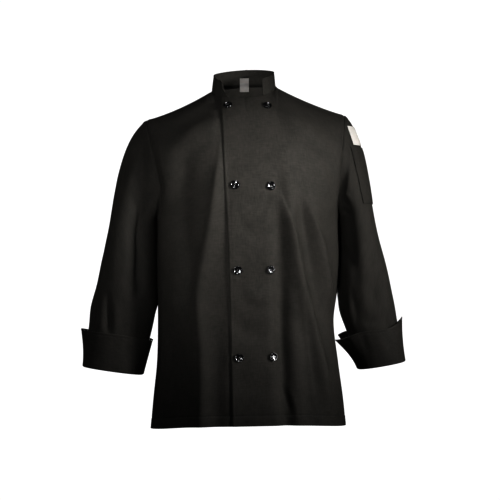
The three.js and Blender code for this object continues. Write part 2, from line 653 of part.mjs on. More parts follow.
// The label hangs from inside the back of the collar, a little off the cloth.
function neckLabel() {
  const { across, along } = CELLS.neckLabel;
  const collarSweep = 360 + COLLAR_ENDS.right.foot - COLLAR_ENDS.left.foot;
  const points = [];
  for (let j = 0; j <= along; j += 1) {
    const z = lerp(NECK_LABEL.footZ, NECK_LABEL.topZ, j / along);
    points.push([...Array(across + 1).keys()].map((i) => {
      const x = NECK_LABEL.x + NECK_LABEL.width * (i / across - 0.5);
      const angle = 180 - THREE.MathUtils.radToDeg(neckAngle(x));
      const share = (angle - COLLAR_ENDS.left.foot) / collarSweep;
      const foot = collarPoint(share, 0);
      const up = clamp((z - foot.z) / COLLAR.back, 0, 1);
      const y = collarPoint(share, up).y - COLLAR_CLOTH - NECK_LABEL.gap;
      return new THREE.Vector3(x, y, z);
    }));
  }
  const normals = points.map((row) => row.map(() => new THREE.Vector3(0, 1, 0)));
  return wallGeometry(points, normals, LABEL_CLOTH);
}

function buttonGeometry() {
  const profile = [
    new THREE.Vector2(0, 0),
    new THREE.Vector2(BUTTON.foot, 0),
    new THREE.Vector2(BUTTON.radius, BUTTON.waist),
    new THREE.Vector2(BUTTON.radius - BUTTON.rim / 2, BUTTON.height),
    new THREE.Vector2(BUTTON.radius - BUTTON.rim, BUTTON.height - BUTTON.step),
    new THREE.Vector2(0, BUTTON.height - BUTTON.dish),
  ];
  return new THREE.LatheGeometry(profile, BUTTON_SIDES);
}

function addButtons(group) {
  BUTTONS.forEach(({ x, z }, index) => {
    const reach = BUTTON.radius;
    const lap = (shiftX, shiftZ) => panelCell(x + shiftX, z + shiftZ, 'front').point;
    const across = lap(reach, 0).sub(lap(-reach, 0));
    const up = lap(0, reach).sub(lap(0, -reach));
    const normal = across.cross(up).normalize();
    const button = piece(`button_${index + 1}`, buttonGeometry(), PLASTIC);
    button.quaternion.setFromUnitVectors(new THREE.Vector3(0, 1, 0), normal);
    button.position.copy(lap(0, 0)).addScaledVector(normal, BUTTON_GAP);
    group.add(button);
  });
}

const jacket = new THREE.Group();
const rightSleeve = piece('right_sleeve', sleeve('right'), TWILL);
const leftSleeve = piece('left_sleeve', sleeve('left'), TWILL);
jacket.add(piece('back', back(), TWILL));
jacket.add(piece('right_front', front('right'), TWILL));
jacket.add(piece('left_front', front('left'), TWILL));
jacket.add(rightSleeve, leftSleeve);
jacket.add(piece('right_cuff', cuff('right'), TWILL));
jacket.add(piece('left_cuff', cuff('left'), TWILL));
jacket.add(piece('collar', collar(), TWILL));
jacket.add(piece('sleeve_pocket', sleevePiece(POCKET, CELLS.pocket, leftSleeve), TWILL));
jacket.add(piece('sleeve_label', sleevePiece(SLEEVE_PATCH, CELLS.sleevePatch, leftSleeve), LABEL));
jacket.add(piece('neck_label', neckLabel(), LABEL));
addButtons(jacket);

export default jacket;
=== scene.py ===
# %% [markdown]
# # A black chef jacket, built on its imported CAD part
#
# The jacket is cloth, so almost everything here is one idea used many times: a flat grid is made with bmesh and
# laid on a form that is worked out from the garment's own measurements. The forms are in millimetres, as a
# pattern cutter would write them, and turn to metres only when a mesh is made. The front faces -Y, +X is the
# wearer's left, and the origin is the middle of the neck base.

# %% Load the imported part
import math

import bmesh
import bpy
import numpy as np
from mathutils import Matrix, Vector
from mathutils.bvhtree import BVHTree


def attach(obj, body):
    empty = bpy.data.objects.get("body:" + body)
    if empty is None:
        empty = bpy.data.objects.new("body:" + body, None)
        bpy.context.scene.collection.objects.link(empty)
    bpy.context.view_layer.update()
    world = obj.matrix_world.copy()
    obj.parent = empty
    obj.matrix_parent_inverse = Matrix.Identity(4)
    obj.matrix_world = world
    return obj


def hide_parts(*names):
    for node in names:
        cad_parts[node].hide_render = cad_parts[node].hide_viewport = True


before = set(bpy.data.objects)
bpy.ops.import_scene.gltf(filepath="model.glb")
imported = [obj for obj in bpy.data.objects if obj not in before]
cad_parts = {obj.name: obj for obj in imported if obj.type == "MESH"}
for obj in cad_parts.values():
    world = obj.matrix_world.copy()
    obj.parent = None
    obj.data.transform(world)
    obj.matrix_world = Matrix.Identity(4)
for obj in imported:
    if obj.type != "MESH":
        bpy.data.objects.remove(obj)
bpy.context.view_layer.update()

MM = 0.001

# %% [markdown]
# ## Camera, backdrop and light
#
# The jacket was photographed from the front with a long lens, level with its middle, in front of pure white.
# The white comes from a round studio wall that glows evenly, and from a floor like it, well below the hem, as
# under a garment that a standing person wears. Both are hidden from diffuse and glossy rays, so they don't wash
# out black cloth.

# %% Camera
PHOTO_WIDTH_AT_ORIGIN = 1.127
CAMERA_DISTANCE = 3.2
scene = bpy.context.scene
camera = bpy.data.objects.new("camera", bpy.data.cameras.new("camera"))
camera.location = (0.009, -CAMERA_DISTANCE, -0.3606)
camera.rotation_euler = (math.radians(90), 0, 0)
camera.data.sensor_width = 36
camera.data.lens = 36 * CAMERA_DISTANCE / PHOTO_WIDTH_AT_ORIGIN
scene.collection.objects.link(camera)
scene.camera = camera
scene.view_settings.view_transform = "Standard"
scene.view_settings.gamma = 0.6
print("Lens in mm:", round(camera.data.lens, 1))


# %% [markdown]
# ## Helpers for colour and shader nodes
#
# Colours are given as sRGB hex, the way a dye chart gives them, and one function turns them linear. One small
# function adds any shader node, sets its inputs and links whatever is a socket.

# %% Colour and node helpers
def colour(hexadecimal):
    """sRGB hex to linear RGBA."""
    parts = [int(hexadecimal[i:i + 2], 16) / 255 for i in (1, 3, 5)]
    return [p / 12.92 if p <= 0.04045 else ((p + 0.055) / 1.055) ** 2.4 for p in parts] + [1]


def add(material, kind, inputs=None, **settings):
    """Adds a node to a material. Inputs are set by name, and linked where the value is a socket."""
    node = material.node_tree.nodes.new(kind)
    for name, value in settings.items():
        setattr(node, name, value)
    for name, value in (inputs or {}).items():
        if isinstance(value, bpy.types.NodeSocket):
            material.node_tree.links.new(value, node.inputs[name])
        else:
            node.inputs[name].default_value = value
    return node


def new_material(name):
    """An empty material and its output node."""
    material = bpy.data.materials.new(name)
    material.use_nodes = True
    material.node_tree.nodes.clear()
    output = add(material, "ShaderNodeOutputMaterial")
    return material, output


def finish_surface(material, output, shader):
    material.node_tree.links.new(shader.outputs[0], output.inputs["Surface"])
    return material


# %% Studio wall, floor and lights
WALL_RADIUS = 4.3
FLOOR_Z = -1.8
wall_glow, wall_output = new_material("evenly_lit_white_wall")
finish_surface(wall_glow, wall_output, add(wall_glow, "ShaderNodeEmission", {"Color": colour("#ffffff"), "Strength": 1.05}))


def stage_ring(name, profile, material):
    """A round stage piece: a profile of radius and height is spun about the middle."""
    bm = bmesh.new()
    points = [bm.verts.new((radius, 0, z)) for radius, z in profile]
    edges = [bm.edges.new(pair) for pair in zip(points, points[1:])]
    bmesh.ops.spin(bm, geom=points + edges, axis=(0, 0, 1), cent=(0, 0, 0), angle=2 * math.pi, steps=64,
                   use_merge=True)
    bmesh.ops.remove_doubles(bm, verts=bm.verts, dist=1e-4)
    mesh = bpy.data.meshes.new(name)
    bm.to_mesh(mesh)
    bm.free()
    mesh.materials.append(material)
    ring = bpy.data.objects.new(name, mesh)
    scene.collection.objects.link(ring)
    return ring


wall_profile = [(WALL_RADIUS, FLOOR_Z), (WALL_RADIUS, 2.4)]
wall_profile += [(WALL_RADIUS * math.cos(a), 2.4 + 1.6 * math.sin(a)) for a in np.linspace(0.2, math.pi / 2, 9)]
wall = stage_ring("studio_wall", wall_profile, wall_glow)
floor = stage_ring("studio_floor", [(0, FLOOR_Z), (WALL_RADIUS, FLOOR_Z)], wall_glow)
for glowing in (wall, floor):
    glowing.visible_diffuse = False
    glowing.visible_glossy = False
    glowing.visible_shadow = False

world = bpy.data.worlds.new("soft_room_light")
world.use_nodes = True
world.node_tree.nodes["Background"].inputs["Color"].default_value = colour("#f4f6f8")
world.node_tree.nodes["Background"].inputs["Strength"].default_value = 0.02
scene.world = world

# Each light's kind, place, aim, size, cone and power. The cones are narrow and soft, so the chest is lit most and
# the light falls off towards the shoulders and the hem.
LIGHTS = {
    "key": ("SPOT", (1.42, -1.0, 0.1), (0, -0.12, -0.29), 0.12, 38, 280),
    "chest": ("SPOT", (1.2, -1.25, 0.02), (0, -0.12, -0.15), 0.1, 16, 170),
    "low_side": ("SPOT", (1.49, -0.91, -0.45), (0.1, -0.12, -0.62), 0.15, 40, 85),
    "fill": ("SPOT", (-0.35, -1.77, -0.38), (-0.05, -0.12, -0.28), 0.15, 27, 205),
    "inside_neck": ("AREA", (-0.005, -0.02, -0.17), (-0.005, 0.07, 0.0), 0.06, 0, 0.75),
    "rim_left": ("AREA", (-2.1, -0.56, 0.63), (0, 0, -0.38), 0.9, 0, 20),
    "button_glints": ("AREA", (0.35, -1.6, 1.5), (0, -0.1, -0.1), 0.8, 0, 72),
    "back": ("AREA", (0.15, 2.6, 0.1), (0, 0, -0.4), 0.9, 0, 330),
}
for name, (kind, place, aim, size, cone, power) in LIGHTS.items():
    lamp = bpy.data.lights.new(name, kind)
    lamp.energy = power
    if kind == "SPOT":
        lamp.shadow_soft_size = size
        lamp.spot_size = math.radians(cone)
        lamp.spot_blend = 1
    else:
        lamp.shape = "SQUARE"
        lamp.size = size
    lamp_object = bpy.data.objects.new(name, lamp)
    lamp_object.location = place
    lamp_object.rotation_euler = (Vector(aim) - Vector(place)).to_track_quat("-Z", "Y").to_euler()
    lamp_object.visible_camera = False
    lamp_object.visible_diffuse = name != "button_glints"
    scene.collection.objects.link(lamp_object)
print("Lights:", list(LIGHTS))

# %% [markdown]
# ## Black twill
#
# The cloth is a polyester and cotton twill of about 250 g per square metre. Its yarns run over two and under
# one, which leaves fine diagonal lines about 0.7 mm apart. The yarns are dyed black but a little fuzzy, so the
# surface has a dull, slightly warm sheen and never a clear highlight. Every cloth mesh carries a UV map in real
# metres along and across the cloth, so the lines follow the cut pieces round the body.

# %% Twill material
TWILL_PITCH = 1.3 * MM      # real lines are 0.7 mm apart, too fine for a picture with 2.2 mm to a pixel
TWILL_LINES_ANGLE = math.radians(63)
WAVE_PERIOD = 2 * math.pi / 20   # a wave texture of scale 1 repeats after this length


def twill(name, dark, light, roughness):
    material, output = new_material(name)
    uv = add(material, "ShaderNodeUVMap", uv_map="cloth")
    turned = add(material, "ShaderNodeMapping", {"Vector": uv.outputs["UV"], "Rotation": (0, 0, TWILL_LINES_ANGLE)})
    lines = add(material, "ShaderNodeTexWave", {
        "Vector": turned.outputs["Vector"], "Scale": WAVE_PERIOD / TWILL_PITCH,
        "Distortion": 1.2, "Detail": 1.0, "Detail Scale": 2.0}, wave_type="BANDS", bands_direction="X")
    # Thick places in single yarns show as short streaks, some along the cloth and some across it.
    slubs = []
    for stretch in ((330.0, 60.0, 1.0), (70.0, 300.0, 1.0)):
        drawn = add(material, "ShaderNodeMapping", {"Vector": uv.outputs["UV"], "Scale": stretch})
        slubs.append(add(material, "ShaderNodeTexNoise", {"Vector": drawn.outputs["Vector"], "Scale": 1.0, "Detail": 2.0}))
    handling = add(material, "ShaderNodeTexNoise", {"Vector": uv.outputs["UV"], "Scale": 22.0, "Detail": 4.0})
    # The edge attribute is painted light: it darkens or lightens the cloth's tone along edges, as painted shade and
    # painted highlight.
    edge = add(material, "ShaderNodeAttribute", attribute_name="edge")
    streaks = add(material, "ShaderNodeMath", {0: slubs[0].outputs["Fac"], 1: slubs[1].outputs["Fac"]}, operation="ADD")
    mottle = add(material, "ShaderNodeMath", {0: streaks.outputs[0], 1: handling.outputs["Fac"]}, operation="ADD")
    lightness = add(material, "ShaderNodeMath", {0: mottle.outputs[0], 1: edge.outputs["Fac"]}, operation="ADD")
    spread = add(material, "ShaderNodeMapRange", {
        "Value": lightness.outputs[0], "From Min": 1.1, "From Max": 1.9})
    tone = add(material, "ShaderNodeMix", {"Factor": spread.outputs["Result"]}, data_type="RGBA")
    tone.inputs["A"].default_value = colour(dark)
    tone.inputs["B"].default_value = colour(light)
    rib = add(material, "ShaderNodeMath", {0: streaks.outputs[0], 1: 0.8, 2: lines.outputs["Fac"]}, operation="MULTIPLY_ADD")
    relief = add(material, "ShaderNodeBump", {
        "Height": rib.outputs[0], "Strength": 0.5, "Distance": 0.3 * MM})
    crumple = add(material, "ShaderNodeTexNoise", {"Vector": uv.outputs["UV"], "Scale": 70.0, "Detail": 2.0})
    soft = add(material, "ShaderNodeBump", {
        "Height": crumple.outputs["Fac"], "Strength": 0.5, "Distance": 0.8 * MM, "Normal": relief.outputs["Normal"]})
    shader = add(material, "ShaderNodeBsdfPrincipled", {
        "Base Color": tone.outputs["Result"], "Roughness": roughness, "IOR": 1.45, "Specular IOR Level": 0.12,
        "Sheen Weight": 0.015, "Sheen Roughness": 0.5, "Normal": soft.outputs["Normal"]})
    shader.inputs["Sheen Tint"].default_value = colour("#b8b0a4")
    return finish_surface(material, output, shader)


black_twill = twill("black_poly_cotton_twill", "#282724", "#33312e", 0.72)


# %% [markdown]
# ## Reading a cutter's tables
#
# A garment's form is given by a few measured sections. Between two sections the value has to run on softly,
# because a kink would show as a hard line in the cloth. A cubic that keeps the slope of the neighbouring rows does
# that, and the cloth lies on its solid.

# %% Tables
def table(names, *rows):
    """A table with named columns, from rows of numbers."""
    return {name: np.array(values, float) for name, values in zip(names.split(), zip(*rows))}


def read(source, name, place, key="z"):
    """Reads a column of a table at places along its key column, with soft joins between the rows."""
    keys, values = source[key], source[name]
    if keys[0] > keys[-1]:
        keys, values = keys[::-1], values[::-1]
    rise = np.diff(values) / np.diff(keys)
    inner = (values[2:] - values[:-2]) / (keys[2:] - keys[:-2])
    slope = np.concatenate([rise[:1], inner, rise[-1:]])
    place = np.clip(place, keys[0], keys[-1])
    i = np.clip(np.searchsorted(keys, place, side="right") - 1, 0, len(keys) - 2)
    span = keys[i + 1] - keys[i]
    t = (place - keys[i]) / span
    return ((2 * t ** 3 - 3 * t ** 2 + 1) * values[i] + (t ** 3 - 2 * t ** 2 + t) * span * slope[i]
            + (3 * t ** 2 - 2 * t ** 3) * values[i + 1] + (t ** 3 - t ** 2) * span * slope[i + 1])


def smooth(value, low, high):
    """0 below low, 1 above high, and a soft step between."""
    t = np.clip((np.asarray(value, float) - low) / (high - low), 0, 1)
    return t * t * (3 - 2 * t)


def lerp(a, b, share):
    return a + (b - a) * share


def bell(value, width):
    return np.exp(-(value / width) ** 2)


def unit(vectors):
    return vectors / np.maximum(np.linalg.norm(vectors, axis=-1, keepdims=True), 1e-9)


# %% Torso measurements
TORSO = table(
    "z right left front back",
    (-770, 216, 227, 166, 150), (-690, 209, 219, 162, 143), (-610, 201, 208, 157, 133),
    (-520, 199, 198, 153, 125), (-450, 200, 206, 155, 127), (-370, 201, 211, 159, 133),
    (-290, 201, 210, 161, 142), (-230, 209, 222, 158, 145), (-175, 224, 237, 150, 142),
    (-130, 234, 245, 138, 135), (-60, 246, 250, 110, 113), (0, 252, 252, 76, 92), (60, 258, 258, 60, 78))
TORSO_ROUNDNESS = 2.2
SHOULDERS = {
    "right": {"neck_x": 76, "neck_z": -2, "tip_x": 224, "tip_z": -68, "dip": 6.5},
    "left": {"neck_x": 70, "neck_z": 5, "tip_x": 221, "tip_z": -57, "dip": 4.5},
}
SHOULDER_ROLL = {"front": 110, "back": 66}
NECK_RISE = 40
NECK_BLEND = 5
UNDERARM_Z = -288
ARMHOLES = {
    ("right", "front"): table("z x", (-288, 201), (-268, 194), (-228, 189), (-175, 199), (-68, 224)),
    ("right", "back"): table("z x", (-288, 201), (-262, 196), (-200, 201), (-130, 212), (-68, 224)),
    ("left", "front"): table("z x", (-288, 210), (-262, 205), (-232, 206), (-154, 213), (-57, 221)),
    ("left", "back"): table("z x", (-288, 210), (-262, 205), (-200, 208), (-130, 214), (-57, 221)),
}
HEM = {"front": -738, "side": -755, "back": -762, "lean": 0.016}
NECK = {"x": -5, "half_width": 72, "front": 76, "back": 68, "side_z": 1.5}
NECK_SLOPE = {"side": 0.048, "front": 0.36, "back": 0.2}
LAP_EDGE = table("z x", (-740, -28), (-400, -36), (-125, -48.5), (-15, -57))
UNDER_EDGE = table("z x", (-740, 84), (-20, 60))
CLOTH = 1.6
LAYER_GAP = 0.9
SEAM_GAP = 0.3


# %% [markdown]
# ## The torso's form
#
# Seen from the front, every place on the torso has a depth. It is widest in the middle, falls to nothing at
# the side seams like a rounded oval, and rolls over to nothing at the shoulder seam. Working with the square of
# the depth keeps the slope finite where the form turns edge on.

# %% Torso form
def by_side(x, right, left):
    return np.where(x < 0, right, left)


def ridge_z(x):
    """Height of the shoulder seam over a place, carried on past the neck and past the tip."""
    heights = []
    for side in ("right", "left"):
        seam = SHOULDERS[side]
        share = (np.abs(x) - seam["neck_x"]) / (seam["tip_x"] - seam["neck_x"])
        dip = np.where(share < 1, seam["dip"] * 4 * share * (1 - share), 0)
        slope = lerp(seam["neck_z"], seam["tip_z"], share) - dip
        inside = seam["neck_z"] + NECK_RISE * (1 - (np.abs(x) / seam["neck_x"]) ** 2)
        heights.append(np.where(share < 0, inside, slope))
    return by_side(x, *heights)


def depth_squared(x, z, face):
    reach = by_side(x, read(TORSO, "right", z), read(TORSO, "left", z))
    depth = read(TORSO, face, z)
    power = TORSO_ROUNDNESS
    rounding = np.maximum(0, 1 - (np.abs(x) / reach) ** power) ** (2 / power)
    below = np.clip((ridge_z(x) - z) / SHOULDER_ROLL[face], 0, 1)
    return depth ** 2 * rounding * (1 - (1 - below) ** 2)


def facing(face):
    return -1 if face == "front" else 1


def torso_point(x, z, face):
    return np.stack([x, facing(face) * np.sqrt(depth_squared(x, z, face)), z], axis=-1)


def torso_normal(x, z, face):
    step = 0.5
    slope_x = (depth_squared(x + step, z, face) - depth_squared(x - step, z, face)) / (2 * step)
    slope_z = (depth_squared(x, z + step, face) - depth_squared(x, z - step, face)) / (2 * step)
    return unit(np.stack([-slope_x, 2 * facing(face) * np.sqrt(depth_squared(x, z, face)), -slope_z], axis=-1))


def neck_point(angle):
    """The neck seam, by its angle from the front towards the wearer's left."""
    x = NECK["x"] + NECK["half_width"] * np.sin(angle)
    at_front = np.cos(angle) > 0
    y = -np.where(at_front, NECK["front"], NECK["back"]) * np.cos(angle)
    slope = np.where(at_front, NECK_SLOPE["front"], NECK_SLOPE["back"])
    return np.stack([x, y, NECK["side_z"] + NECK_SLOPE["side"] * x + slope * y], axis=-1)


def top_of(x, face):
    """Where a panel ends at the top: on the neck seam, or further out on the shoulder seam."""
    neck_x = NECK["x"] + np.sign(x - NECK["x"]) * NECK["half_width"]
    seam_z = np.minimum(ridge_z(x), ridge_z(neck_x))
    angle = np.arcsin(np.clip((x - NECK["x"]) / NECK["half_width"], -1, 1))
    on_neck = neck_point(angle if face == "front" else math.pi - angle)
    over_neck = np.abs(x - NECK["x"]) < NECK["half_width"]
    return np.where(over_neck, on_neck[..., 1], 0), np.where(over_neck, on_neck[..., 2], seam_z)


def neck_shift(x, z, face):
    """Moves a panel's top onto the neck seam. Further down the shift is spread sideways, so it leaves no ridge."""
    share = np.clip((z - UNDERARM_Z) / (top_of(x, face)[1] - UNDERARM_Z), 0, 1)
    spread = 9 + 51 * (1 - share)
    shift = 0
    for offset, weight in ((-1, 0.08), (-0.66, 0.15), (-0.33, 0.17), (0, 0.2), (0.33, 0.17), (0.66, 0.15), (1, 0.08)):
        there = x + offset * spread
        top_y, top_z = top_of(there, face)
        shift = shift + weight * (top_y - torso_point(there, top_z, face)[..., 1])
    return shift * share ** NECK_BLEND


def hem_z(x, face):
    reach = by_side(x, read(TORSO, "right", HEM["side"]), read(TORSO, "left", HEM["side"]))
    return lerp(HEM[face], HEM["side"], np.clip(np.abs(x) / reach, 0, 1) ** 3) + HEM["lean"] * x


def panel_side(z, side, face):
    below = read(TORSO, side, z)
    above = read(ARMHOLES[side, face], "x", np.minimum(z, SHOULDERS[side]["tip_z"]))
    return np.where(z <= UNDERARM_Z, below, above)


# %% [markdown]
# ## Folds and creases
#
# Worn twill hangs in a few long soft folds from the shoulders and the tight places, and between those it has
# short creases. Each is a row of stations along its crest: where it is as seen from the front or the back, how
# wide it is there and how far the cloth stands out or sinks in. lean makes one flank longer than the other,
# as cloth that is pulled to one side does. None has the same length, width or depth as its neighbour.

# %% Largest folds, as in the solids
FOLD_COLUMNS = "top_x top_z foot_x foot_z bow width depth"
FOLDS = {
    "front": table(
        FOLD_COLUMNS,
        (-58, -190, -100, -450, 3, 18, 8), (-102, -430, -95, -770, -3, 20, 9),
        (-130, -165, -124, -440, -6, 21, -9), (-160, -520, -172, -770, 4, 30, -10),
        (-48, -330, -54, -770, -3, 16, -5), (74, -240, 92, -770, -6, 17, -10),
        (88, -215, 184, -700, -10, 16, 9), (148, -260, 190, -470, -5, 15, 7),
        (118, -300, 150, -770, -6, 18, -4)),
    "back": table(
        FOLD_COLUMNS,
        (-150, -250, -96, -560, -8, 24, -9), (150, -260, 104, -540, 8, 22, -8),
        (-60, -420, -78, -780, 5, 24, -10), (12, -400, 20, -780, -5, 28, 8),
        (66, -450, 92, -780, -4, 22, -9), (-140, -500, -150, -780, 4, 20, 7),
        (150, -520, 156, -780, -4, 20, -7)),
}
FOLD_FADE = {"side_from": 4, "side": 34, "top_from": 30, "top": 130, "ends": 0.2}


def fold_at(x, z, face):
    """Sum of the large folds at a place, fading to nothing at the side, shoulder and neck seams."""
    reach = by_side(x, panel_side(z, "right", face), panel_side(z, "left", face))
    fade = smooth(reach - np.abs(x), FOLD_FADE["side_from"], FOLD_FADE["side"])
    fade = fade * smooth(ridge_z(x) - z, FOLD_FADE["top_from"], FOLD_FADE["top"])
    folds, ends, total = FOLDS[face], FOLD_FADE["ends"], 0
    for i in range(len(folds["bow"])):
        top_x, top_z, foot_x, foot_z, bow, width, depth = (folds[name][i] for name in FOLD_COLUMNS.split())
        along = (top_z - z) / (top_z - foot_z)
        middle = lerp(top_x, foot_x, along) + bow * 4 * along * (1 - along)
        start = smooth(along, -ends, ends)
        end = 1 if foot_z <= HEM["front"] else 1 - smooth(along, 1 - ends, 1 + ends)
        total = total + depth * start * end * bell(x - middle, width)
    return fade * total


# %% Creases
# Each crease is its lean and then its stations: x, z, width and depth.
CREASES = {
    "front": [
        (0.2, (-58, -64, 15, 0), (-92, -86, 21, 4.4), (-122, -110, 25, 5.6), (-150, -144, 26, 5.4),
         (-166, -190, 24, 3.6), (-172, -240, 22, 1.6), (-168, -290, 20, 0)),
        (0.0, (-60, -36, 13, 0), (-84, -50, 16, -3), (-120, -66, 16, -2.4), (-160, -88, 14, 0)),
        (0.0, (70, -54, 14, 0), (104, -80, 21, 7), (146, -108, 23, 8), (192, -136, 19, 0)),
        (-0.55, (-58, -108, 26, 0), (-60, -150, 30, 3), (-64, -200, 30, 3.6), (-76, -262, 26, 3), (-90, -335, 20, 0)),
        (0.0, (-184, -104, 30, 0), (-188, -150, 34, 8), (-186, -230, 34, 10), (-184, -330, 30, 7), (-186, -440, 26, 0)),
        (0.35, (-54, -98, 8, 0), (-56, -140, 9, 2), (-60, -190, 10, 3.2), (-69, -270, 11, 3.2), (-87, -350, 11, 3.6), (-102, -430, 10, 3.2),
         (-101, -500, 10, 3), (-93, -580, 11, 3.2), (-92, -660, 11, 3.4), (-97, -775, 12, 3.4)),
        (-0.1, (-128, -150, 20, 0), (-130, -200, 21, 2.5), (-127, -270, 20, 2.5), (-125, -330, 16, 0),
         (-122, -400, 15, -2.6), (-126, -470, 15, -2), (-128, -520, 15, 0)),
        (0.1, (-146, -455, 17, 0), (-156, -495, 18, 2.2), (-162, -535, 18, 2.4), (-160, -575, 17, 0)),
        (0.0, (-43, -290, 18, 0), (-44, -380, 19, 4), (-46, -560, 20, 4.4), (-47, -775, 20, 4)),
        (-0.6, (70, -226, 9, 0), (78, -254, 10, 4.4), (104, -328, 11, 6.4), (121, -408, 11, 7.4), (134, -474, 11, 7.2),
         (149, -535, 10, 6.6), (170, -627, 9, 5.8), (182, -715, 9, 1)),
        (0.0, (62, -228, 14, 0), (72, -264, 16, 3), (84, -320, 17, 4), (92, -380, 17, 3), (94, -440, 17, 0)),
        (-0.2, (70, -240, 11, 0), (78, -300, 13, -1), (84, -380, 14, -1.8), (82, -450, 16, -4.8), (82, -560, 16, -6),
         (88, -650, 16, -3.6), (100, -745, 17, -2.4)),
        (-0.6, (98, -330, 16, 0), (110, -420, 20, 3.5), (120, -500, 20, 4.6), (134, -600, 18, 4), (150, -710, 16, 0)),
        (-0.45, (134, -240, 8, 0), (139, -277, 9, 4.4), (152, -315, 10, 5.6), (164, -350, 10, 5.4), (179, -420, 9, 4),
         (188, -490, 9, 0)),
        (-0.1, (114, -240, 10, 0), (122, -280, 11, -4.6), (133, -345, 12, -5.6), (149, -436, 12, -4.8),
         (164, -520, 12, -3.4), (184, -620, 12, 0)),
        (0.2, (118, -126, 8, 0), (134, -142, 8, -2), (166, -164, 9, -3), (186, -190, 9, -2.8), (196, -222, 9, 0)),
        (-0.2, (132, -162, 9, 0), (160, -184, 10, 2), (176, -210, 10, 2.2), (186, -246, 10, 0)),
        (0.0, (150, -560, 16, 0), (158, -640, 17, 2.4), (160, -700, 18, 2.6), (162, -775, 18, 2.6)),
        (0.0, (-160, -350, 12, 0), (-170, -420, 12, -1.8), (-176, -500, 12, -2.4), (-172, -600, 12, 0)),
        (0.15, (-30, -330, 17, 0), (0, -322, 19, -2.6), (34, -326, 19, -2.8), (62, -318, 15, 0)),
        (0.0, (-6, -450, 15, 0), (20, -462, 17, 4.4), (44, -464, 16, 4), (68, -450, 14, 0)),
        (0.1, (-34, -524, 20, 0), (-8, -536, 23, -4.6), (24, -541, 23, -4.8), (58, -534, 20, 0)),
        (0.0, (-24, -640, 18, 0), (4, -652, 20, -2.6), (36, -648, 20, -2.8), (66, -630, 15, 0)),
        (0.0, (-34, -268, 12, 0), (-20, -250, 9, 1.8), (4, -240, 9, 2), (36, -238, 8, 1.6), (48, -240, 8, 0)),
        (0.0, (-26, -262, 9, 0), (-10, -300, 10, -0.9), (20, -334, 10, -1.1), (48, -318, 10, -0.9), (66, -272, 9, 0)),
        (0.3, (-30, -442, 5, 0), (-23, -431, 5.5, -2), (-12, -421, 5.5, -2), (-4, -414, 5, 0)),
        (-0.2, (-28, -414, 6, 0), (-20, -424, 6, 1.4), (-8, -430, 6, 1.2), (4, -432, 6, 0)),
        (0.3, (78, -640, 5, 0), (84, -662, 5.5, -1.4), (92, -686, 6, -1.8), (99, -708, 6, -1.4), (104, -728, 6, 0)),
        (-0.3, (92, -640, 6, 0), (98, -665, 7, 1.4), (106, -695, 7, 1.6), (112, -742, 8, 0.8)),
        (0.0, (-44, -606, 6, 0), (-38, -592, 6, 1.6), (-28, -578, 6, 0)),
        (0.0, (52, -214, 9, 0), (44, -260, 10, -1.6), (30, -296, 10, 0)),
        (0.1, (-32, -640, 14, 0), (-28, -690, 15, 1.2), (-22, -775, 15, 1.2)),
    ],
    "back": [
        (0.2, (-185, -190, 14, 0), (-150, -225, 16, -2.6), (-110, -280, 16, -3.4), (-80, -360, 15, -2), (-66, -420, 14, 0)),
        (-0.2, (188, -200, 14, 0), (152, -240, 15, -2.8), (116, -300, 17, -3.2), (92, -380, 15, -2.2), (80, -450, 14, 0)),
        (0.0, (-120, -100, 16, 0), (-60, -118, 18, 1.6), (10, -122, 18, 2), (80, -112, 18, 1.5), (130, -96, 16, 0)),
        (0.3, (-20, -330, 12, 0), (-26, -420, 13, 2.4), (-36, -540, 13, 3), (-42, -660, 14, 2.6), (-46, -790, 15, 2.2)),
        (-0.3, (52, -380, 12, 0), (50, -470, 13, 2.2), (56, -600, 13, 3), (60, -700, 14, 2.8), (64, -790, 15, 2.4)),
        (0.0, (-96, -470, 14, 0), (-110, -560, 14, 2.6), (-118, -660, 15, 2.4), (-122, -790, 16, 2)),
        (0.1, (118, -480, 13, 0), (126, -580, 14, 2.8), (128, -690, 15, 2.6), (130, -790, 16, 2)),
        (0.4, (-60, -500, 9, 0), (-24, -512, 9, -1.8), (20, -520, 10, -2.2), (56, -506, 9, 0)),
        (0.2, (-150, -420, 10, 0), (-112, -440, 10, -1.8), (-80, -448, 9, 0)),
        (-0.2, (92, -410, 9, 0), (130, -422, 10, -2), (166, -408, 10, 0)),
        (0.1, (-46, -560, 9, 0), (-4, -574, 10, 1.6), (42, -566, 9, 0)),
        (0.0, (-176, -520, 10, 0), (-180, -600, 11, 2), (-182, -700, 11, 0)),
        (0.0, (176, -500, 10, 0), (184, -590, 11, 2.2), (188, -690, 11, 0)),
    ],
}


def crease_at(creases, x, z):
    """Sum of the listed creases at places seen from one side."""
    total = np.zeros(np.broadcast(x, z).shape)
    for lean, *stations in creases:
        stops = table("x z width depth", *stations)
        key, other = ("z", "x") if np.ptp(stops["z"]) >= np.ptp(stops["x"]) else ("x", "z")
        along, across = (z, x) if key == "z" else (x, z)
        middle = read(stops, other, along, key)
        ahead = read(stops, other, along + 1, key) - middle
        offset = (across - middle) / np.sqrt(1 + ahead ** 2)
        width = read(stops, "width", along, key) * (1 + lean * np.sign(offset))
        depth = read(stops, "depth", along, key)
        inside = (along >= stops[key].min()) & (along <= stops[key].max())
        total = total + np.where(inside, depth, 0) * bell(offset, width)
    return total


print("Hand-placed creases:", {face: len(rows) for face, rows in CREASES.items()})


# %% [markdown]
# ## Cloth from a grid
#
# bmesh makes the grid, and every vertex is then moved to its own place on the form. Its UV map is measured
# along the cloth afterwards, in metres. Solidify gives the cloth its thickness on the inner side, and a small
# bevel rounds the edges, because cloth is folded under at every edge and shows no cut corner.

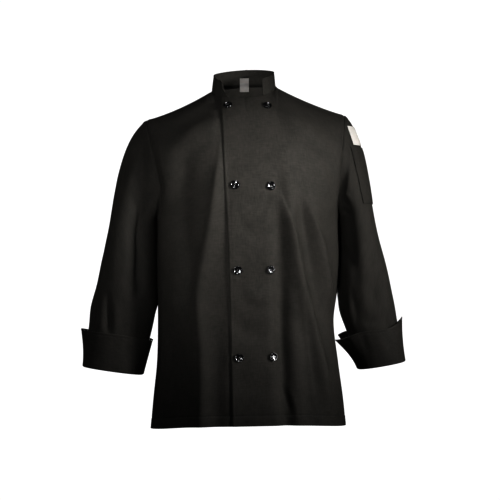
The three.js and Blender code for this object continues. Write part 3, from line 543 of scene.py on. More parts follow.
# %% Cloth helpers
def grid_normals(points, closed=False):
    """Normals of a grid of points, by the cross product of its own two directions."""
    if closed:
        across = np.roll(points, -1, axis=1) - np.roll(points, 1, axis=1)
    else:
        across = np.gradient(points, axis=1)
    return unit(np.cross(across, np.gradient(points, axis=0)))


def lengths_along(points, axis):
    """Length of the cloth from the first row or column to each point."""
    steps = np.linalg.norm(np.diff(points, axis=axis), axis=-1)
    first = np.zeros_like(np.take(steps, [0], axis=axis))
    return np.concatenate([first, np.cumsum(steps, axis=axis)], axis=axis)


def stations(length, step, fine=()):
    """Shares along a length: even steps, and closer ones round the places in fine, in millimetres."""
    marks = set(np.round(np.linspace(0, length, max(2, round(length / step) + 1)), 3))
    for place in fine:
        marks = {m for m in marks if abs(m - place) > 2.2 or m in (0, length)}
        marks |= {place + d for d in (-2.4, -1.2, 0, 1.2, 2.4) if 0 <= place + d <= length}
    return np.array(sorted(marks)) / length


def cloth(name, points, outward, material, thickness=CLOTH, closed=False, edge=None):
    """A sheet of cloth on a grid of points in millimetres. outward gives the side that is seen."""
    if closed:
        points = np.concatenate([points, points[:, :1]], axis=1)
        outward = np.concatenate([outward, outward[:, :1]], axis=1)
    rows, columns = points.shape[:2]
    if np.sum(grid_normals(points) * outward) < 0:
        points, outward = points[:, ::-1], outward[:, ::-1]
        edge = None if edge is None else edge[:, ::-1]
    bm = bmesh.new()
    bmesh.ops.create_grid(bm, x_segments=columns - 1, y_segments=rows - 1, size=0.5)
    flat = np.array([v.co[:2] for v in bm.verts])
    column, row = np.round((flat - flat.min(0)) / np.ptp(flat, axis=0) * (columns - 1, rows - 1)).astype(int).T
    across, along = lengths_along(points, 1) * MM, lengths_along(points, 0) * MM
    weave = bm.loops.layers.uv.new("cloth")
    # The edge layer holds painted shade and painted highlight along edges, which the twill's colour reads.
    painted_edge_light = bm.verts.layers.float.new("edge")
    edge = np.zeros((rows, columns)) if edge is None else edge
    for vertex, i, j in zip(bm.verts, column, row):
        vertex.co = points[j, i] * MM
        vertex[painted_edge_light] = edge[j, i]
        for loop in vertex.link_loops:
            loop[weave].uv = (across[j, i], along[j, i])
    if closed:
        bmesh.ops.remove_doubles(bm, verts=bm.verts, dist=1e-5)
    mesh = bpy.data.meshes.new(name)
    bm.to_mesh(mesh)
    bm.free()
    mesh.shade_smooth()
    mesh.materials.append(material)
    piece = bpy.data.objects.new(name, mesh)
    scene.collection.objects.link(piece)
    wall = piece.modifiers.new("cloth_thickness", "SOLIDIFY")
    wall.thickness = thickness * MM
    wall.offset = -1
    rounding = piece.modifiers.new("folded_edges", "BEVEL")
    rounding.width = 0.3 * thickness * MM
    rounding.segments = 2
    rounding.limit_method = "ANGLE"
    rounding.angle_limit = math.radians(55)
    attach(piece, "root")
    area = sum(polygon.area for polygon in mesh.polygons)
    print(f"{name}: {rows} x {columns} points, {area:.3f} square metres")
    return piece


# %% [markdown]
# ## Body panels
#
# A maker cuts one back and two fronts. The wearer's left front laps over the right one, and its edge is a
# folded facing, so it stands a little proud and throws the thin shadow that the closing shows, which painted
# shade on the very edge makes darker. The hem is turned up 22 mm and stitched: below the stitches the cloth is
# double and stands out a little. At every sewn seam both panels dive in, which leaves a groove.

# %% Panel surface
BUTTONS = [(-39, -45), (46.5, -45), (-23, -221), (54, -223), (-17, -404), (53, -403), (-14, -592), (59, -590)]
UNDER_STEP_WIDTH = 26
HEM_DEPTH = 22
SEAM_DIVE = 1.3
LAP_LIFT = 1.5
EDGE_DROP = 1.0


def held_flat(x, z):
    """0 at a button, where it holds the cloth flat, and 1 well away from every button."""
    free = 1.0
    for button_x, button_z in BUTTONS:
        free = free * (1 - bell(np.hypot(x - button_x, z - button_z), 12))
    return free


def under_lap(x, z):
    return (CLOTH + LAYER_GAP) * smooth(x - read(LAP_EDGE, "x", z), -UNDER_STEP_WIDTH, -4)


def ripple(x, z, size, seed):
    """Soft uneven ripples, from three crossing waves that never line up."""
    a = np.sin((x * 0.83 + z * 0.31 + seed * 17) / size)
    b = np.sin((x * -0.42 + z * 0.91 + seed * 29) / (size * 1.37) + a)
    return (a * b + np.sin((x + z * 0.2 + seed * 7) / (size * 2.1) + b)) / 2


def skin(x, z, face, sunk=0.0, lap=False):
    """Points and normals of the cloth's outer side, with its folds, creases, hem and seams."""
    points = torso_point(x, z, face)
    normals = torso_normal(x, z, face)
    points[..., 1] += neck_shift(x, z, face)
    reach = by_side(x, panel_side(z, "right", face), panel_side(z, "left", face))
    from_side = reach - np.abs(x)
    from_top = top_of(x, face)[1] - z
    free = smooth(from_side, 2, 22) * smooth(from_top, 4, 40)
    height = fold_at(x, z, face) + free * held_flat(x, z) * (
        crease_at(CREASES[face], x, z) + 0.45 * ripple(x, z, 15, facing(face)))
    from_hem = z - hem_z(x, face)
    height = height + 0.5 * smooth(HEM_DEPTH - from_hem, -1, 3) - 0.5 * bell(from_hem - HEM_DEPTH, 1.6)
    height = height + 0.35 * bell(from_hem - 11, 12) * ripple(x, z, 5, 3)
    height = height - SEAM_DIVE * bell(from_side, 2.2) + 0.5 * bell(from_side - 7, 4)
    height = height - 0.8 * bell(from_top, 2.0) * smooth(np.abs(x), 66, 80)
    if lap:
        from_edge = x - read(LAP_EDGE, "x", z)
        height = height + LAP_LIFT * bell(from_edge, 60) - EDGE_DROP * bell(from_edge, 1.8) - 0.15 * bell(from_edge - 7, 1.4)
    points = points + normals * (height - sunk)[..., None]
    points[..., 1] = np.minimum(points[..., 1], 0) if face == "front" else np.maximum(points[..., 1], 0)
    return points, normals


def panel_grid(face, from_edge, to_edge, across, step=3.4):
    """Places across and up a panel. The rows are even up to the underarm and close up towards the shoulder.
    All panels share one step, so that their sides meet vertex on vertex."""
    below = stations(450, step, (0, HEM_DEPTH))
    above = np.sin(np.linspace(0, math.pi / 2, round(300 / step)))[1:]
    top_x = lerp(from_edge(1e3), to_edge(1e3), across)
    foot_x = lerp(from_edge(HEM["side"]), to_edge(HEM["side"]), across)
    top = top_of(top_x, face)[1]
    z = np.concatenate([lerp(hem_z(foot_x, face), UNDERARM_Z, below[:, None]),
                        lerp(UNDERARM_Z, top, above[:, None])])
    return lerp(from_edge(z), to_edge(z), across), z


# %% Back panel
back_across = stations(540, 3.8, (0, 540))
back_x, back_z = panel_grid("back", lambda z: -panel_side(z, "right", "back"), lambda z: panel_side(z, "left", "back"),
                            back_across)
back_points, back_normals = skin(back_x, back_z, "back")
back = cloth("back_cloth", back_points, back_normals, black_twill)
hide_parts("back")

# %% Fronts
left_across = stations(330, 3.2, (0, 7, 330))
lap_x, lap_z = panel_grid("front", lambda z: read(LAP_EDGE, "x", z), lambda z: panel_side(z, "left", "front"),
                          left_across)
lap_points, lap_normals = skin(lap_x, lap_z, "front", lap=True)
# Painted light along the lap's edge: painted shade on the very edge, where the gap beside it lies in shadow, and a
# faint painted highlight 4 mm in from it.
lap_painted_shade_and_highlight = 0.15 * bell(lap_x - read(LAP_EDGE, "x", lap_z) - 4, 2) - 0.6 * bell(lap_x - read(LAP_EDGE, "x", lap_z), 1.5)
left_front = cloth("left_front_cloth", lap_points, lap_normals, black_twill, edge=lap_painted_shade_and_highlight)
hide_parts("left_front")

right_across = stations(330, 3.4, (0, 330))
under_x, under_z = panel_grid("front", lambda z: -panel_side(z, "right", "front"), lambda z: read(UNDER_EDGE, "x", z),
                              right_across)
under_points, under_normals = skin(under_x, under_z, "front", under_lap(under_x, under_z))
right_front = cloth("right_front_cloth", under_points, under_normals, black_twill)
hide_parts("right_front")

# %% [markdown]
# ## Set-in sleeves
#
# A sleeve leaves the armhole at a different angle all round: it lies flat off the shoulder, stands out in
# front and turns right back under the arm. A cubic sweep takes it from there to the first section of the arm,
# and the sections below give its width, depth and lean down to the wrist.

# %% Sleeve measurements
SLEEVES = {
    "right": table("z x y half_width half_depth lean", (-330, -258, 2, 54, 77, 4), (-410, -266, -4, 62, 68, 6),
                   (-490, -273.5, -12, 70, 58, 7), (-550, -284, -22, 69, 46, 7.5), (-628, -297.5, -34, 65, 36, 8)),
    "left": table("z x y half_width half_depth lean", (-330, 255, 4, 42, 78, 4), (-410, 265, 2, 52.5, 72, 6),
                  (-480, 270, -4, 62, 62, 6.5), (-540, 284, -16, 57, 52, 7), (-616, 303, -32, 51, 42, 10)),
}
SLEEVE_ROUNDNESS = 2.2
SLEEVE_SETTING = table("angle turn carry", (0, -24, 0.9), (45, -8, 0.9), (90, 24, 0.8), (125, 62, 0.7),
                       (155, 120, 0.6), (180, 172, 0.5))
SLEEVE_ARRIVAL = {"carry": 0.9, "step": 30}
SLEEVE_FULLNESS = {"right": 1.07, "left": 0.8}
SLEEVE_FOLD_ENDS = 60
SLEEVE_FOLDS = {
    "right": [(62, -150, -430, 16, 5), (118, -200, -470, 18, -9), (34, -470, -640, 9, -6), (14, -430, -545, 10, 4),
              (250, -260, -480, 20, -8)],
    "left": [(96, -150, -520, 14, 6), (122, -230, -420, 16, -8), (58, -480, -620, 14, -5), (262, -250, -500, 20, -8)],
}
SLEEVE_CREASES = {
    ("right", "front"): [
        (-0.2, (-246, -110, 8, 0), (-252, -150, 9, 1.6), (-260, -262, 11, 2.4), (-266, -390, 12, 2), (-274, -500, 12, 0)),
        (0.3, (-229, -116, 8, 0), (-233, -160, 11, -6), (-235, -210, 13, -9), (-233, -300, 14, -10), (-233, -391, 14, -9),
         (-242, -500, 12, 0)),
        (-0.1, (-304, -446, 7, 0), (-304, -480, 7.5, -4.2), (-303, -520, 8, -5), (-304, -552, 8, -3), (-305, -580, 8, 0)),
        (0.2, (-318, -450, 7, 0), (-319, -490, 7, 2.6), (-321, -530, 7, 2.4), (-322, -560, 7, 0)),
        (0.1, (-288, -470, 8, 0), (-287, -505, 8, 2.2), (-288, -540, 8, 2), (-290, -565, 8, 0)),
        (0.4, (-214, -300, 8, 0), (-230, -330, 8, -2.4), (-244, -352, 9, 0)),
        (-0.3, (-214, -360, 8, 0), (-228, -400, 9, -2.8), (-240, -430, 9, 0)),
        (0.2, (-220, -440, 9, 0), (-238, -456, 9, -2.4), (-258, -462, 9, 0)),
        (0.0, (-290, -330, 12, 0), (-300, -380, 12, -1.6), (-304, -430, 12, 0)),
    ],
    ("right", "back"): [
        (0.2, (-236, -160, 9, 0), (-250, -240, 11, 2), (-262, -340, 12, 2.2), (-270, -420, 12, 0)),
        (-0.3, (-222, -330, 9, 0), (-246, -372, 9, -2.6), (-276, -396, 10, -2.4), (-300, -402, 9, 0)),
        (0.3, (-230, -420, 9, 0), (-258, -448, 9, -2.2), (-292, -458, 10, 0)),
        (0.1, (-300, -470, 8, 0), (-306, -520, 8, -3), (-310, -570, 8, 0)),
        (0.0, (-262, -480, 9, 0), (-266, -530, 9, 2.2), (-270, -575, 9, 0)),
    ],
    ("left", "front"): [
        (0.2, (222, -112, 8, 0), (225, -150, 10, 3.4), (226, -268, 12, 6), (228, -391, 12, 6), (234, -500, 10, 4),
         (238, -545, 8, 0)),
        (-0.3, (203, -232, 5, 0), (212, -243, 5.5, -5), (222, -256, 6, -5.4), (233, -272, 5, 0)),
        (-0.3, (205, -222, 5, 0), (214, -228, 5, 2.6), (226, -240, 5, 2.8), (236, -256, 5, 0)),
        (0.2, (204, -262, 6, 0), (216, -276, 7, -5.4), (228, -288, 6, 0)),
        (-0.2, (204, -328, 6, 0), (214, -352, 7, -5), (225, -374, 7, -5), (237, -398, 6, 0)),
        (0.1, (232, -430, 6, 0), (236, -462, 6, -2.6), (242, -500, 6.5, -2.6), (246, -540, 6, 0)),
        (0.0, (258, -518, 9, 0), (270, -520, 9, -2), (290, -516, 9, -1.8), (308, -508, 9, 0)),
        (0.2, (262, -170, 14, 0), (268, -260, 15, 1.4), (280, -360, 16, 1.6), (290, -440, 15, 0)),
        (-0.2, (250, -380, 14, 0), (264, -430, 15, -1.5), (284, -470, 15, -1.5), (302, -500, 14, 0)),
    ],
    ("left", "back"): [
        (-0.2, (234, -150, 9, 0), (246, -240, 11, 2.2), (262, -340, 12, 2), (272, -430, 12, 0)),
        (0.3, (218, -310, 9, 0), (240, -350, 9, -2.4), (270, -378, 10, -2.6), (296, -384, 9, 0)),
        (-0.3, (226, -400, 9, 0), (254, -436, 9, -2.4), (290, -450, 10, 0)),
        (0.1, (296, -460, 8, 0), (304, -510, 8, -2.8), (312, -555, 8, 0)),
        (0.0, (262, -470, 9, 0), (268, -520, 9, 2), (276, -560, 9, 0)),
    ],
}
SIGN = {"right": -1, "left": 1}
SLEEVE_REST = {"right": (210, 24, 12, -300, -478), "left": (208, 24, 11, -296, -446)}   # angle, width, depth, z, z


# %% Sleeve form
def armhole_place(side, angle):
    """The armhole seam, by its angle from the shoulder tip round the front, with the panel's normal."""
    z = lerp(SHOULDERS[side]["tip_z"], UNDERARM_Z, (1 - np.cos(angle)) / 2)
    at_front = (np.sin(angle) >= 0)[..., None]
    found = []
    for face in ("front", "back"):
        x = SIGN[side] * read(ARMHOLES[side, face], "x", z)
        found.append((torso_point(x, z, face), torso_normal(x, z, face)))
    (front_point, front_normal), (back_point, back_normal) = found
    return np.where(at_front, front_point, back_point), np.where(at_front, front_normal, back_normal)


def leave_seam(edge, normal, outward, turn, gap):
    """Where a piece starts beside a seam, the way it goes and the way it faces."""
    bend = np.radians(turn)[..., None]
    kept = np.maximum(bend, 0)
    start = edge + outward * gap * np.cos(kept / 2) + normal * gap * np.sin(kept / 2)
    way = unit(outward * np.cos(bend) + normal * np.sin(bend))
    return start, way, unit(normal * np.cos(kept) - outward * np.sin(kept))


def armhole_ways(side, angle):
    """The armhole seam with the panel's normal and the way out of the panel's edge."""
    edge, normal = armhole_place(side, angle)
    along = armhole_place(side, angle + 0.02)[0] - armhole_place(side, angle - 0.02)[0]
    return edge, normal, unit(np.cross(along, normal) * -SIGN[side])


def seam_allowance(side, angle):
    """The sleeve's sewn edge, turned in under the panel."""
    edge, normal, outward = armhole_ways(side, angle)
    return np.stack([edge + outward * out + normal * up for out, up in ((-8, -3.6), (-3, -3.0), (0.2, -2.4), (0.5, -1.2))])


def armhole_seam(side, angle):
    edge, normal, outward = armhole_ways(side, angle)
    setting = 180 - np.abs(180 - np.degrees(angle))
    turn = read(SLEEVE_SETTING, "turn", setting, "angle")
    carry = read(SLEEVE_SETTING, "carry", setting, "angle") * SLEEVE_FULLNESS[side]
    return (*leave_seam(edge, normal, outward, turn, SEAM_GAP), carry)


def section(side, z, angle, grow=0.0):
    """Points on a sleeve's section, by the angle from the outer side round the front."""
    rows, power = SLEEVES[side], 2 / SLEEVE_ROUNDNESS
    outer = np.sign(np.cos(angle)) * np.abs(np.cos(angle)) ** power * (read(rows, "half_width", z) + grow)
    front = np.sign(np.sin(angle)) * np.abs(np.sin(angle)) ** power * (read(rows, "half_depth", z) + grow)
    lean = np.radians(read(rows, "lean", z))
    x = read(rows, "x", z) + SIGN[side] * outer * np.cos(lean)
    return np.stack(np.broadcast_arrays(x, read(rows, "y", z) - front, z + outer * np.sin(lean)), axis=-1)


def sleeve_cap(side, angle, share):
    """The sweep from the armhole to the first section of the arm, by shares down it."""
    start, way, _, carry = armhole_seam(side, angle)
    first = SLEEVES[side]["z"][0]
    end = section(side, first, angle)
    length = np.linalg.norm(end - start, axis=-1, keepdims=True)
    arrival = unit(section(side, first - SLEEVE_ARRIVAL["step"], angle) - end) * length * SLEEVE_ARRIVAL["carry"]
    leaving = way * length * carry[..., None]
    t = share[:, None, None]
    return (start * (2 * t ** 3 - 3 * t ** 2 + 1) + leaving * (t ** 3 - 2 * t ** 2 + t)
            + end * (3 * t ** 2 - 2 * t ** 3) + arrival * (t ** 3 - t ** 2))


def sleeve_fold(side, angle, z):
    total = 0
    for centre, top_z, foot_z, width, depth in SLEEVE_FOLDS[side]:
        apart = np.abs(np.degrees(angle) - centre)
        around = np.radians(np.minimum(apart, 360 - apart)) * read(SLEEVES[side], "half_width", z)
        ends = smooth(top_z - z, 0, SLEEVE_FOLD_ENDS) * smooth(z - foot_z, 0, SLEEVE_FOLD_ENDS)
        total = total + depth * ends * bell(around, width)
    return total


def away_from_middle(points):
    return points - points.mean(axis=1, keepdims=True)


def sleeve_points(side, columns=118):
    """The sleeve's outer side as a closed grid, with its folds, its creases and the groove at the armhole."""
    angle = np.arange(columns) * 2 * math.pi / columns
    first, last = SLEEVES[side]["z"][[0, -1]]
    cap = sleeve_cap(side, angle, np.concatenate([[0, 0.006, 0.014, 0.024, 0.036], np.linspace(0.05, 1, 58)[:-1]]))
    arm = section(side, np.linspace(first, last, 80)[:, None], angle)
    allowance = seam_allowance(side, angle)
    points = np.concatenate([allowance, cap, arm])
    normals = grid_normals(points, closed=True)
    normals = normals * np.sign(np.sum(normals * away_from_middle(points)))
    x, y, z = np.moveaxis(points, -1, 0)
    from_seam = lengths_along(points, 0)
    from_seam = from_seam - from_seam[len(allowance)]
    height = sleeve_fold(side, angle, z) * smooth(from_seam, 0, 20)
    centre, width, depth, top_z, foot_z = SLEEVE_REST[side]
    height = height + depth * bell(np.degrees(angle) - centre, width) * smooth(top_z + 26 - z, 0, 40) * smooth(
        z - foot_z + 40, 0, 50)
    at_front = smooth(-normals[..., 1], 0.0, 0.35)
    at_back = smooth(normals[..., 1], 0.0, 0.35)
    small = at_front * crease_at(SLEEVE_CREASES[side, "front"], x, z)
    small = small + at_back * crease_at(SLEEVE_CREASES[side, "back"], x, z)
    small = small + 0.4 * ripple(x + y, z, 13, SIGN[side])
    from_end = lengths_along(points[::-1], 0)[::-1]
    small = small * smooth(from_seam, 3, 26) * smooth(from_end, 60, 100)
    height = height + small + (from_seam > -0.1) * (0.7 * bell(from_seam - 7, 4) - 0.9 * bell(from_seam, 2.2))
    return points + normals * height[..., None], normals


sleeves = {}
for side in ("right", "left"):
    points, normals = sleeve_points(side)
    sleeves[side] = cloth(f"{side}_sleeve_cloth", points, normals, black_twill, closed=True)
    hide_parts(f"{side}_sleeve")

# %% [markdown]
# ## Turned-back cuffs
#
# The sleeve end is a doubled band that is folded up over the sleeve and left open where it faces the body. Its
# foot is a soft fold, so the cloth there runs in a half circle round the sleeve's end and a little way up
# inside. Its top edge is free: it stands off the sleeve at the corners like small ears.

# %% Cuffs
CUFF = {"height": 80, "drop": 1, "clearance": 0.6, "cloth": 2.0, "curl": 1.7, "facing": 12, "thickness": 1.3}
CUFF_SPLIT = {"angle": 187.5, "half_foot": 3, "half_top": 12, "lift": 2.4, "lift_width": 22}
CUFF_EDGES = {
    "right": table("angle stand rise", (0, 15, 2), (26, 5, 0), (90, 2, 2), (150, 2, -2), (180, 4, -4), (215, 8, -2),
                   (270, 3, 0), (334, 6, 0), (360, 15, 2)),
    "left": table("angle stand rise", (0, 11, 19), (26, 5, 10), (60, 2, 0), (120, 4, -2), (160, 17, -12),
                  (178, 29, -13), (215, 14, -2), (270, 4, 0), (334, 6, 6), (360, 11, 19)),
}
CUFF_BUCKLES = {
    "right": [(40, 0.75, 9, -1.8), (75, 0.6, 12, 1.2), (108, 0.8, 8, -1.4), (140, 0.5, 10, 1.2), (230, 0.7, 11, -1.6),
              (290, 0.6, 13, 1.4)],
    "left": [(48, 0.8, 9, -1.6), (84, 0.6, 11, 1.4), (116, 0.7, 9, -1.8), (142, 0.8, 8, 1.4), (240, 0.7, 12, -1.5),
             (300, 0.6, 11, 1.3)],
}


def cuff_surface(side, share, up):
    """Points of the cuff by the share round it and the share up it. Below 0 it runs round the fold."""
    half = lerp(CUFF_SPLIT["half_foot"], CUFF_SPLIT["half_top"], np.clip(up, 0, 1))
    angle = CUFF_SPLIT["angle"] + lerp(half, 360 - half, share)
    turned = angle % 360
    stand = read(CUFF_EDGES[side], "stand", turned, "angle") * np.clip(up, 0, 1) ** CUFF["curl"]
    rise = read(CUFF_EDGES[side], "rise", turned, "angle") * np.clip(up, 0, 1)
    lift = CUFF_SPLIT["lift"] * bell(turned - CUFF_SPLIT["angle"], CUFF_SPLIT["lift_width"])
    outer = CUFF["clearance"] + CUFF["cloth"]
    radius = (outer + CLOTH + CUFF["clearance"] + CUFF["thickness"]) / 2
    bend = np.clip(-up / 0.12, 0, 1) * math.pi
    facing_up = np.clip(-up - 0.12, 0, 1) * CUFF["height"]
    grow = outer - radius + radius * np.cos(bend) + stand + lift * np.clip(1 + up / 0.12, 0, 1)
    buckle = 0
    for centre, high, width, depth in CUFF_BUCKLES[side]:
        apart = np.abs(turned - centre)
        buckle = buckle + depth * bell(np.minimum(apart, 360 - apart), width) * bell(up - high, 0.35)
    grow = grow + buckle * smooth(up, 0, 0.25)
    z = SLEEVES[side]["z"][-1] - CUFF["drop"] + radius + CUFF["height"] * np.clip(up, 0, 1) * (1 - radius / CUFF["height"])
    z = z + rise + facing_up - radius * np.sin(bend)
    return section(side, z, np.radians(turned), grow)


cuff_ups = np.concatenate([[-0.12 - CUFF["facing"] / CUFF["height"], -0.18], np.linspace(-0.12, 0, 8)[:-1],
                           stations(80, 3.2, (6, 74, 80))])
cuff_shares = stations(430, 3.6, (0, 5, 425, 430))
cuffs, cuff_grids = {}, {}
for side in ("right", "left"):
    points = cuff_surface(side, *np.broadcast_arrays(cuff_shares[None, :], cuff_ups[:, None]))
    normals = grid_normals(points)
    folded = np.clip(-cuff_ups / 0.12, 0, 1)[:, None, None]
    outward = away_from_middle(points) * (1 - 2 * folded) - np.array([0, 0, 1.0]) * 40 * folded * (1 - folded)
    seam_dip = -0.35 * bell((1 - cuff_ups)[:, None] * CUFF["height"] - 6, 1.5)
    sign = np.sign(np.sum(normals * outward))
    points = points + normals * sign * seam_dip[..., None]
    # Painted highlight: the cuff is lighter along its free top edge and along its fold.
    cuff_painted_highlight = 0.25 * bell((1 - cuff_ups)[:, None] * CUFF["height"], 2.5) + 0.2 * bell(cuff_ups[:, None] * 80, 3)
    cuff_grids[side] = points, normals * sign
    cuffs[side] = cloth(f"{side}_cuff_cloth", points, normals * sign, black_twill, thickness=CUFF["thickness"],
                        edge=cuff_painted_highlight + 0 * points[..., 0])
    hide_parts(f"{side}_cuff")

# %% [markdown]
# ## Stand collar
#
# The collar is a stiffened doubled band that stands up off the neck seam and leans in a little. Its two ends
# don't meet: the wearer's right one is cut on a slant and turns away, and the left one stops on the lap. Its
# corners are rounded, as a collar that has been turned inside out always is.

# %% Collar
COLLAR = {"front": 38, "side": 35, "back": 37, "taper": 0.95, "cloth": 2.2, "turn": 42, "gap": 0.8, "tuck": 0.8}
COLLAR_ENDS = {"left": (37, 37), "right": (-29, -46)}
COLLAR_CORNER = 7


def collar_seam(angle):
    """The collar's foot at an angle round the neck. Its right end stands on the under front."""
    edge = neck_point(angle)
    x, z = edge[..., 0], np.minimum(edge[..., 2], ridge_z(edge[..., 0]) - 0.5)
    at_front = (np.cos(angle) > 0)[..., None]
    normal = np.where(at_front, torso_normal(x, z, "front"), torso_normal(x, z, "back"))
    outward = unit(np.cross(neck_point(angle + 0.01) - neck_point(angle - 0.01), normal))
    outward = outward * np.where(outward[..., 2:] < 0, -1, 1)
    sunk = under_lap(x, edge[..., 2])[..., None]
    on_under = at_front & (angle > math.pi)[..., None] & (sunk > 0)
    edge = np.where(on_under, edge - normal * sunk + np.array([0, COLLAR["tuck"], 0]), edge)
    turn = np.full(angle.shape, COLLAR["turn"], float)
    return leave_seam(edge, normal, outward, turn, COLLAR["gap"])[0]


def collar_point(share, up):
    foot = lerp(COLLAR_ENDS["left"][0], 360 + COLLAR_ENDS["right"][0], share)
    top = lerp(COLLAR_ENDS["left"][1], 360 + COLLAR_ENDS["right"][1], share)
    angle = np.radians(lerp(foot, top, up))
    start = collar_seam(angle)
    end_height = np.where(np.cos(angle) > 0, COLLAR["front"], COLLAR["back"])
    height = lerp(end_height, COLLAR["side"], np.sin(angle) ** 2)
    from_end = np.minimum(share, 1 - share) * 420
    corner = 1 - np.clip(from_end / COLLAR_CORNER, 0, 1)
    height = height - COLLAR_CORNER * (1 - np.sqrt(1 - corner ** 2))
    drawn = np.where(up < 0, 1 + 0.5 * up, lerp(1, COLLAR["taper"], up))
    x = NECK["x"] + (start[..., 0] - NECK["x"]) * drawn
    return np.stack([x, start[..., 1] * drawn, start[..., 2] + height * up], axis=-1)


collar_shares = stations(420, 3, (0, 3, 6, 414, 417, 420))
collar_ups = np.concatenate([[-0.15, -0.08], stations(37, 2.6, (0, 31, 37))])
collar_points = collar_point(*np.broadcast_arrays(collar_shares[None, :], collar_ups[:, None]))
collar_normals = grid_normals(collar_points)
collar_out = collar_points - np.array([NECK["x"], 0, 0])
collar_out[..., 2] = 0
collar_sign = np.sign(np.sum(collar_normals * collar_out))
collar_height = 0.4 * ripple(collar_shares[None, :] * 420, collar_ups[:, None] * 60, 21, 5)
collar_height = collar_height - 0.35 * bell((1 - collar_ups[:, None]) * 37 - 6, 1.4)
collar_points = collar_points + collar_normals * collar_sign * collar_height[..., None]
# Painted highlight: the collar is lighter along its top edge.
collar_painted_highlight = 0.25 * bell((1 - collar_ups[:, None]) * 37, 2) + 0 * collar_points[..., 0]
collar = cloth("collar_cloth", collar_points, collar_normals * collar_sign, black_twill, thickness=COLLAR["cloth"],
               edge=collar_painted_highlight)
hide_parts("collar")

# %% [markdown]
# ## Pieces sewn on the sleeve and inside the neck
#
# A narrow pen pocket lies on the upper sleeve with a white woven patch above it, and a small white label hangs
# inside the back of the collar. The pocket and the patch follow the sleeve, so rays from the arm's middle find
# the sleeve and each piece stands just off it. Woven labels are satin: fine ribs of shiny white yarn.

# %% Label material
def satin(name, dark, light):
    material, output = new_material(name)
    uv = add(material, "ShaderNodeUVMap", uv_map="cloth")
    ribs = add(material, "ShaderNodeTexWave", {
        "Vector": uv.outputs["UV"], "Scale": WAVE_PERIOD / (0.9 * MM), "Distortion": 0.6, "Detail": 1.0},
        wave_type="BANDS", bands_direction="Y")
    mottle = add(material, "ShaderNodeTexNoise", {"Vector": uv.outputs["UV"], "Scale": 160.0, "Detail": 2.0})
    tone = add(material, "ShaderNodeMix", {"Factor": mottle.outputs["Fac"]}, data_type="RGBA")
    tone.inputs["A"].default_value = colour(dark)
    tone.inputs["B"].default_value = colour(light)
    relief = add(material, "ShaderNodeBump", {"Height": ribs.outputs["Fac"], "Strength": 0.4, "Distance": 0.15 * MM})
    shader = add(material, "ShaderNodeBsdfPrincipled", {
        "Base Color": tone.outputs["Result"], "Roughness": 0.45, "IOR": 1.5, "Sheen Weight": 0.1,
        "Sheen Roughness": 0.4, "Normal": relief.outputs["Normal"]})
    return finish_surface(material, output, shader)


# The neck label is white satin, painted grey as painted shade for the dim inside of the collar.
neck_satin_painted_shade = satin("white_satin_neck_label_painted_shade", "#625f5c", "#6f6c69")
white_satin = satin("white_woven_satin_patch", "#989591", "#a6a39f")

# %% Pocket, patch and label
ARM_AXIS = table("z x y", (-330, 252, 8), (-80, 205, 0))
POCKET = {"from": 4, "to": 75, "top": -132, "foot": -258, "cloth": 1.6}
SLEEVE_PATCH = {"from": 8, "to": 62, "top": -84, "foot": -127, "cloth": 1.0}
PATCH_CLEARANCE = 0.45


def bvh_of(piece):
    bm = bmesh.new()
    bm.from_mesh(piece.data)
    tree = BVHTree.FromBMesh(bm)
    bm.free()
    return tree


left_sleeve_tree = bvh_of(sleeves["left"])


def on_left_sleeve(z, angle, off):
    """Points off the left sleeve, found by rays from the arm's middle, with the rays' ways."""
    middle = np.stack([read(ARM_AXIS, "x", z), read(ARM_AXIS, "y", z), z], axis=-1)
    ways = np.stack([np.cos(angle), -np.sin(angle), np.zeros_like(angle)], axis=-1)
    points = np.empty_like(middle)
    for index in np.ndindex(z.shape):
        hit, normal, _, _ = left_sleeve_tree.ray_cast(Vector(middle[index] * MM), Vector(ways[index]))
        normal = normal if normal.dot(Vector(ways[index])) > 0 else -normal
        points[index] = np.array(hit) / MM + np.array(normal) * off[index]
    return points, ways


def sewn_on(name, size, across, along, puff, material):
    z = lerp(size["foot"], size["top"], along)[:, None] + 0 * across
    angle = np.radians(lerp(size["from"], size["to"], across))[None, :] + 0 * z
    from_edge = np.minimum(np.minimum(across, 1 - across) * 60, np.minimum(along, 1 - along)[:, None] * 120)
    off = PATCH_CLEARANCE + size["cloth"] + puff * smooth(from_edge, 1, 12)
    points, ways = on_left_sleeve(z, angle, off)
    return cloth(name, points, ways, material, thickness=size["cloth"])


pocket = sewn_on("sleeve_pocket_cloth", POCKET, stations(62, 3, (0, 62)), stations(126, 3.2, (0, 112, 126)), 0.8,
                 black_twill)
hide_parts("sleeve_pocket")
patch = sewn_on("sleeve_label_cloth", SLEEVE_PATCH, stations(52, 3, (0, 52)), stations(43, 3, (0, 43)), 0.2,
                white_satin)
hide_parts("sleeve_label")

NECK_LABEL = {"x": -4, "width": 21, "top": 34, "foot": 2, "gap": 0.9, "cloth": 1.0}
label_x = NECK_LABEL["x"] + NECK_LABEL["width"] * (stations(21, 1.8, (0, 21)) - 0.5)
label_z = lerp(NECK_LABEL["foot"], NECK_LABEL["top"], stations(32, 2, (0, 32)))
label_angle = 180 - np.degrees(np.arcsin((label_x - NECK["x"]) / NECK["half_width"]))
label_share = (label_angle - COLLAR_ENDS["left"][0]) / (360 + COLLAR_ENDS["right"][0] - COLLAR_ENDS["left"][0])
label_foot = collar_point(label_share, np.zeros_like(label_share))[..., 2]
label_up = np.clip((label_z[:, None] - label_foot) / COLLAR["back"], 0, 1)
label_y = collar_point(label_share + 0 * label_up, label_up)[..., 1] - COLLAR["cloth"] - NECK_LABEL["gap"]
label_y = label_y - NECK_LABEL["cloth"] - 4 * smooth(label_foot - label_z[:, None], -8, 3)
label_points = np.stack(np.broadcast_arrays(label_x, label_y, label_z[:, None]), axis=-1)
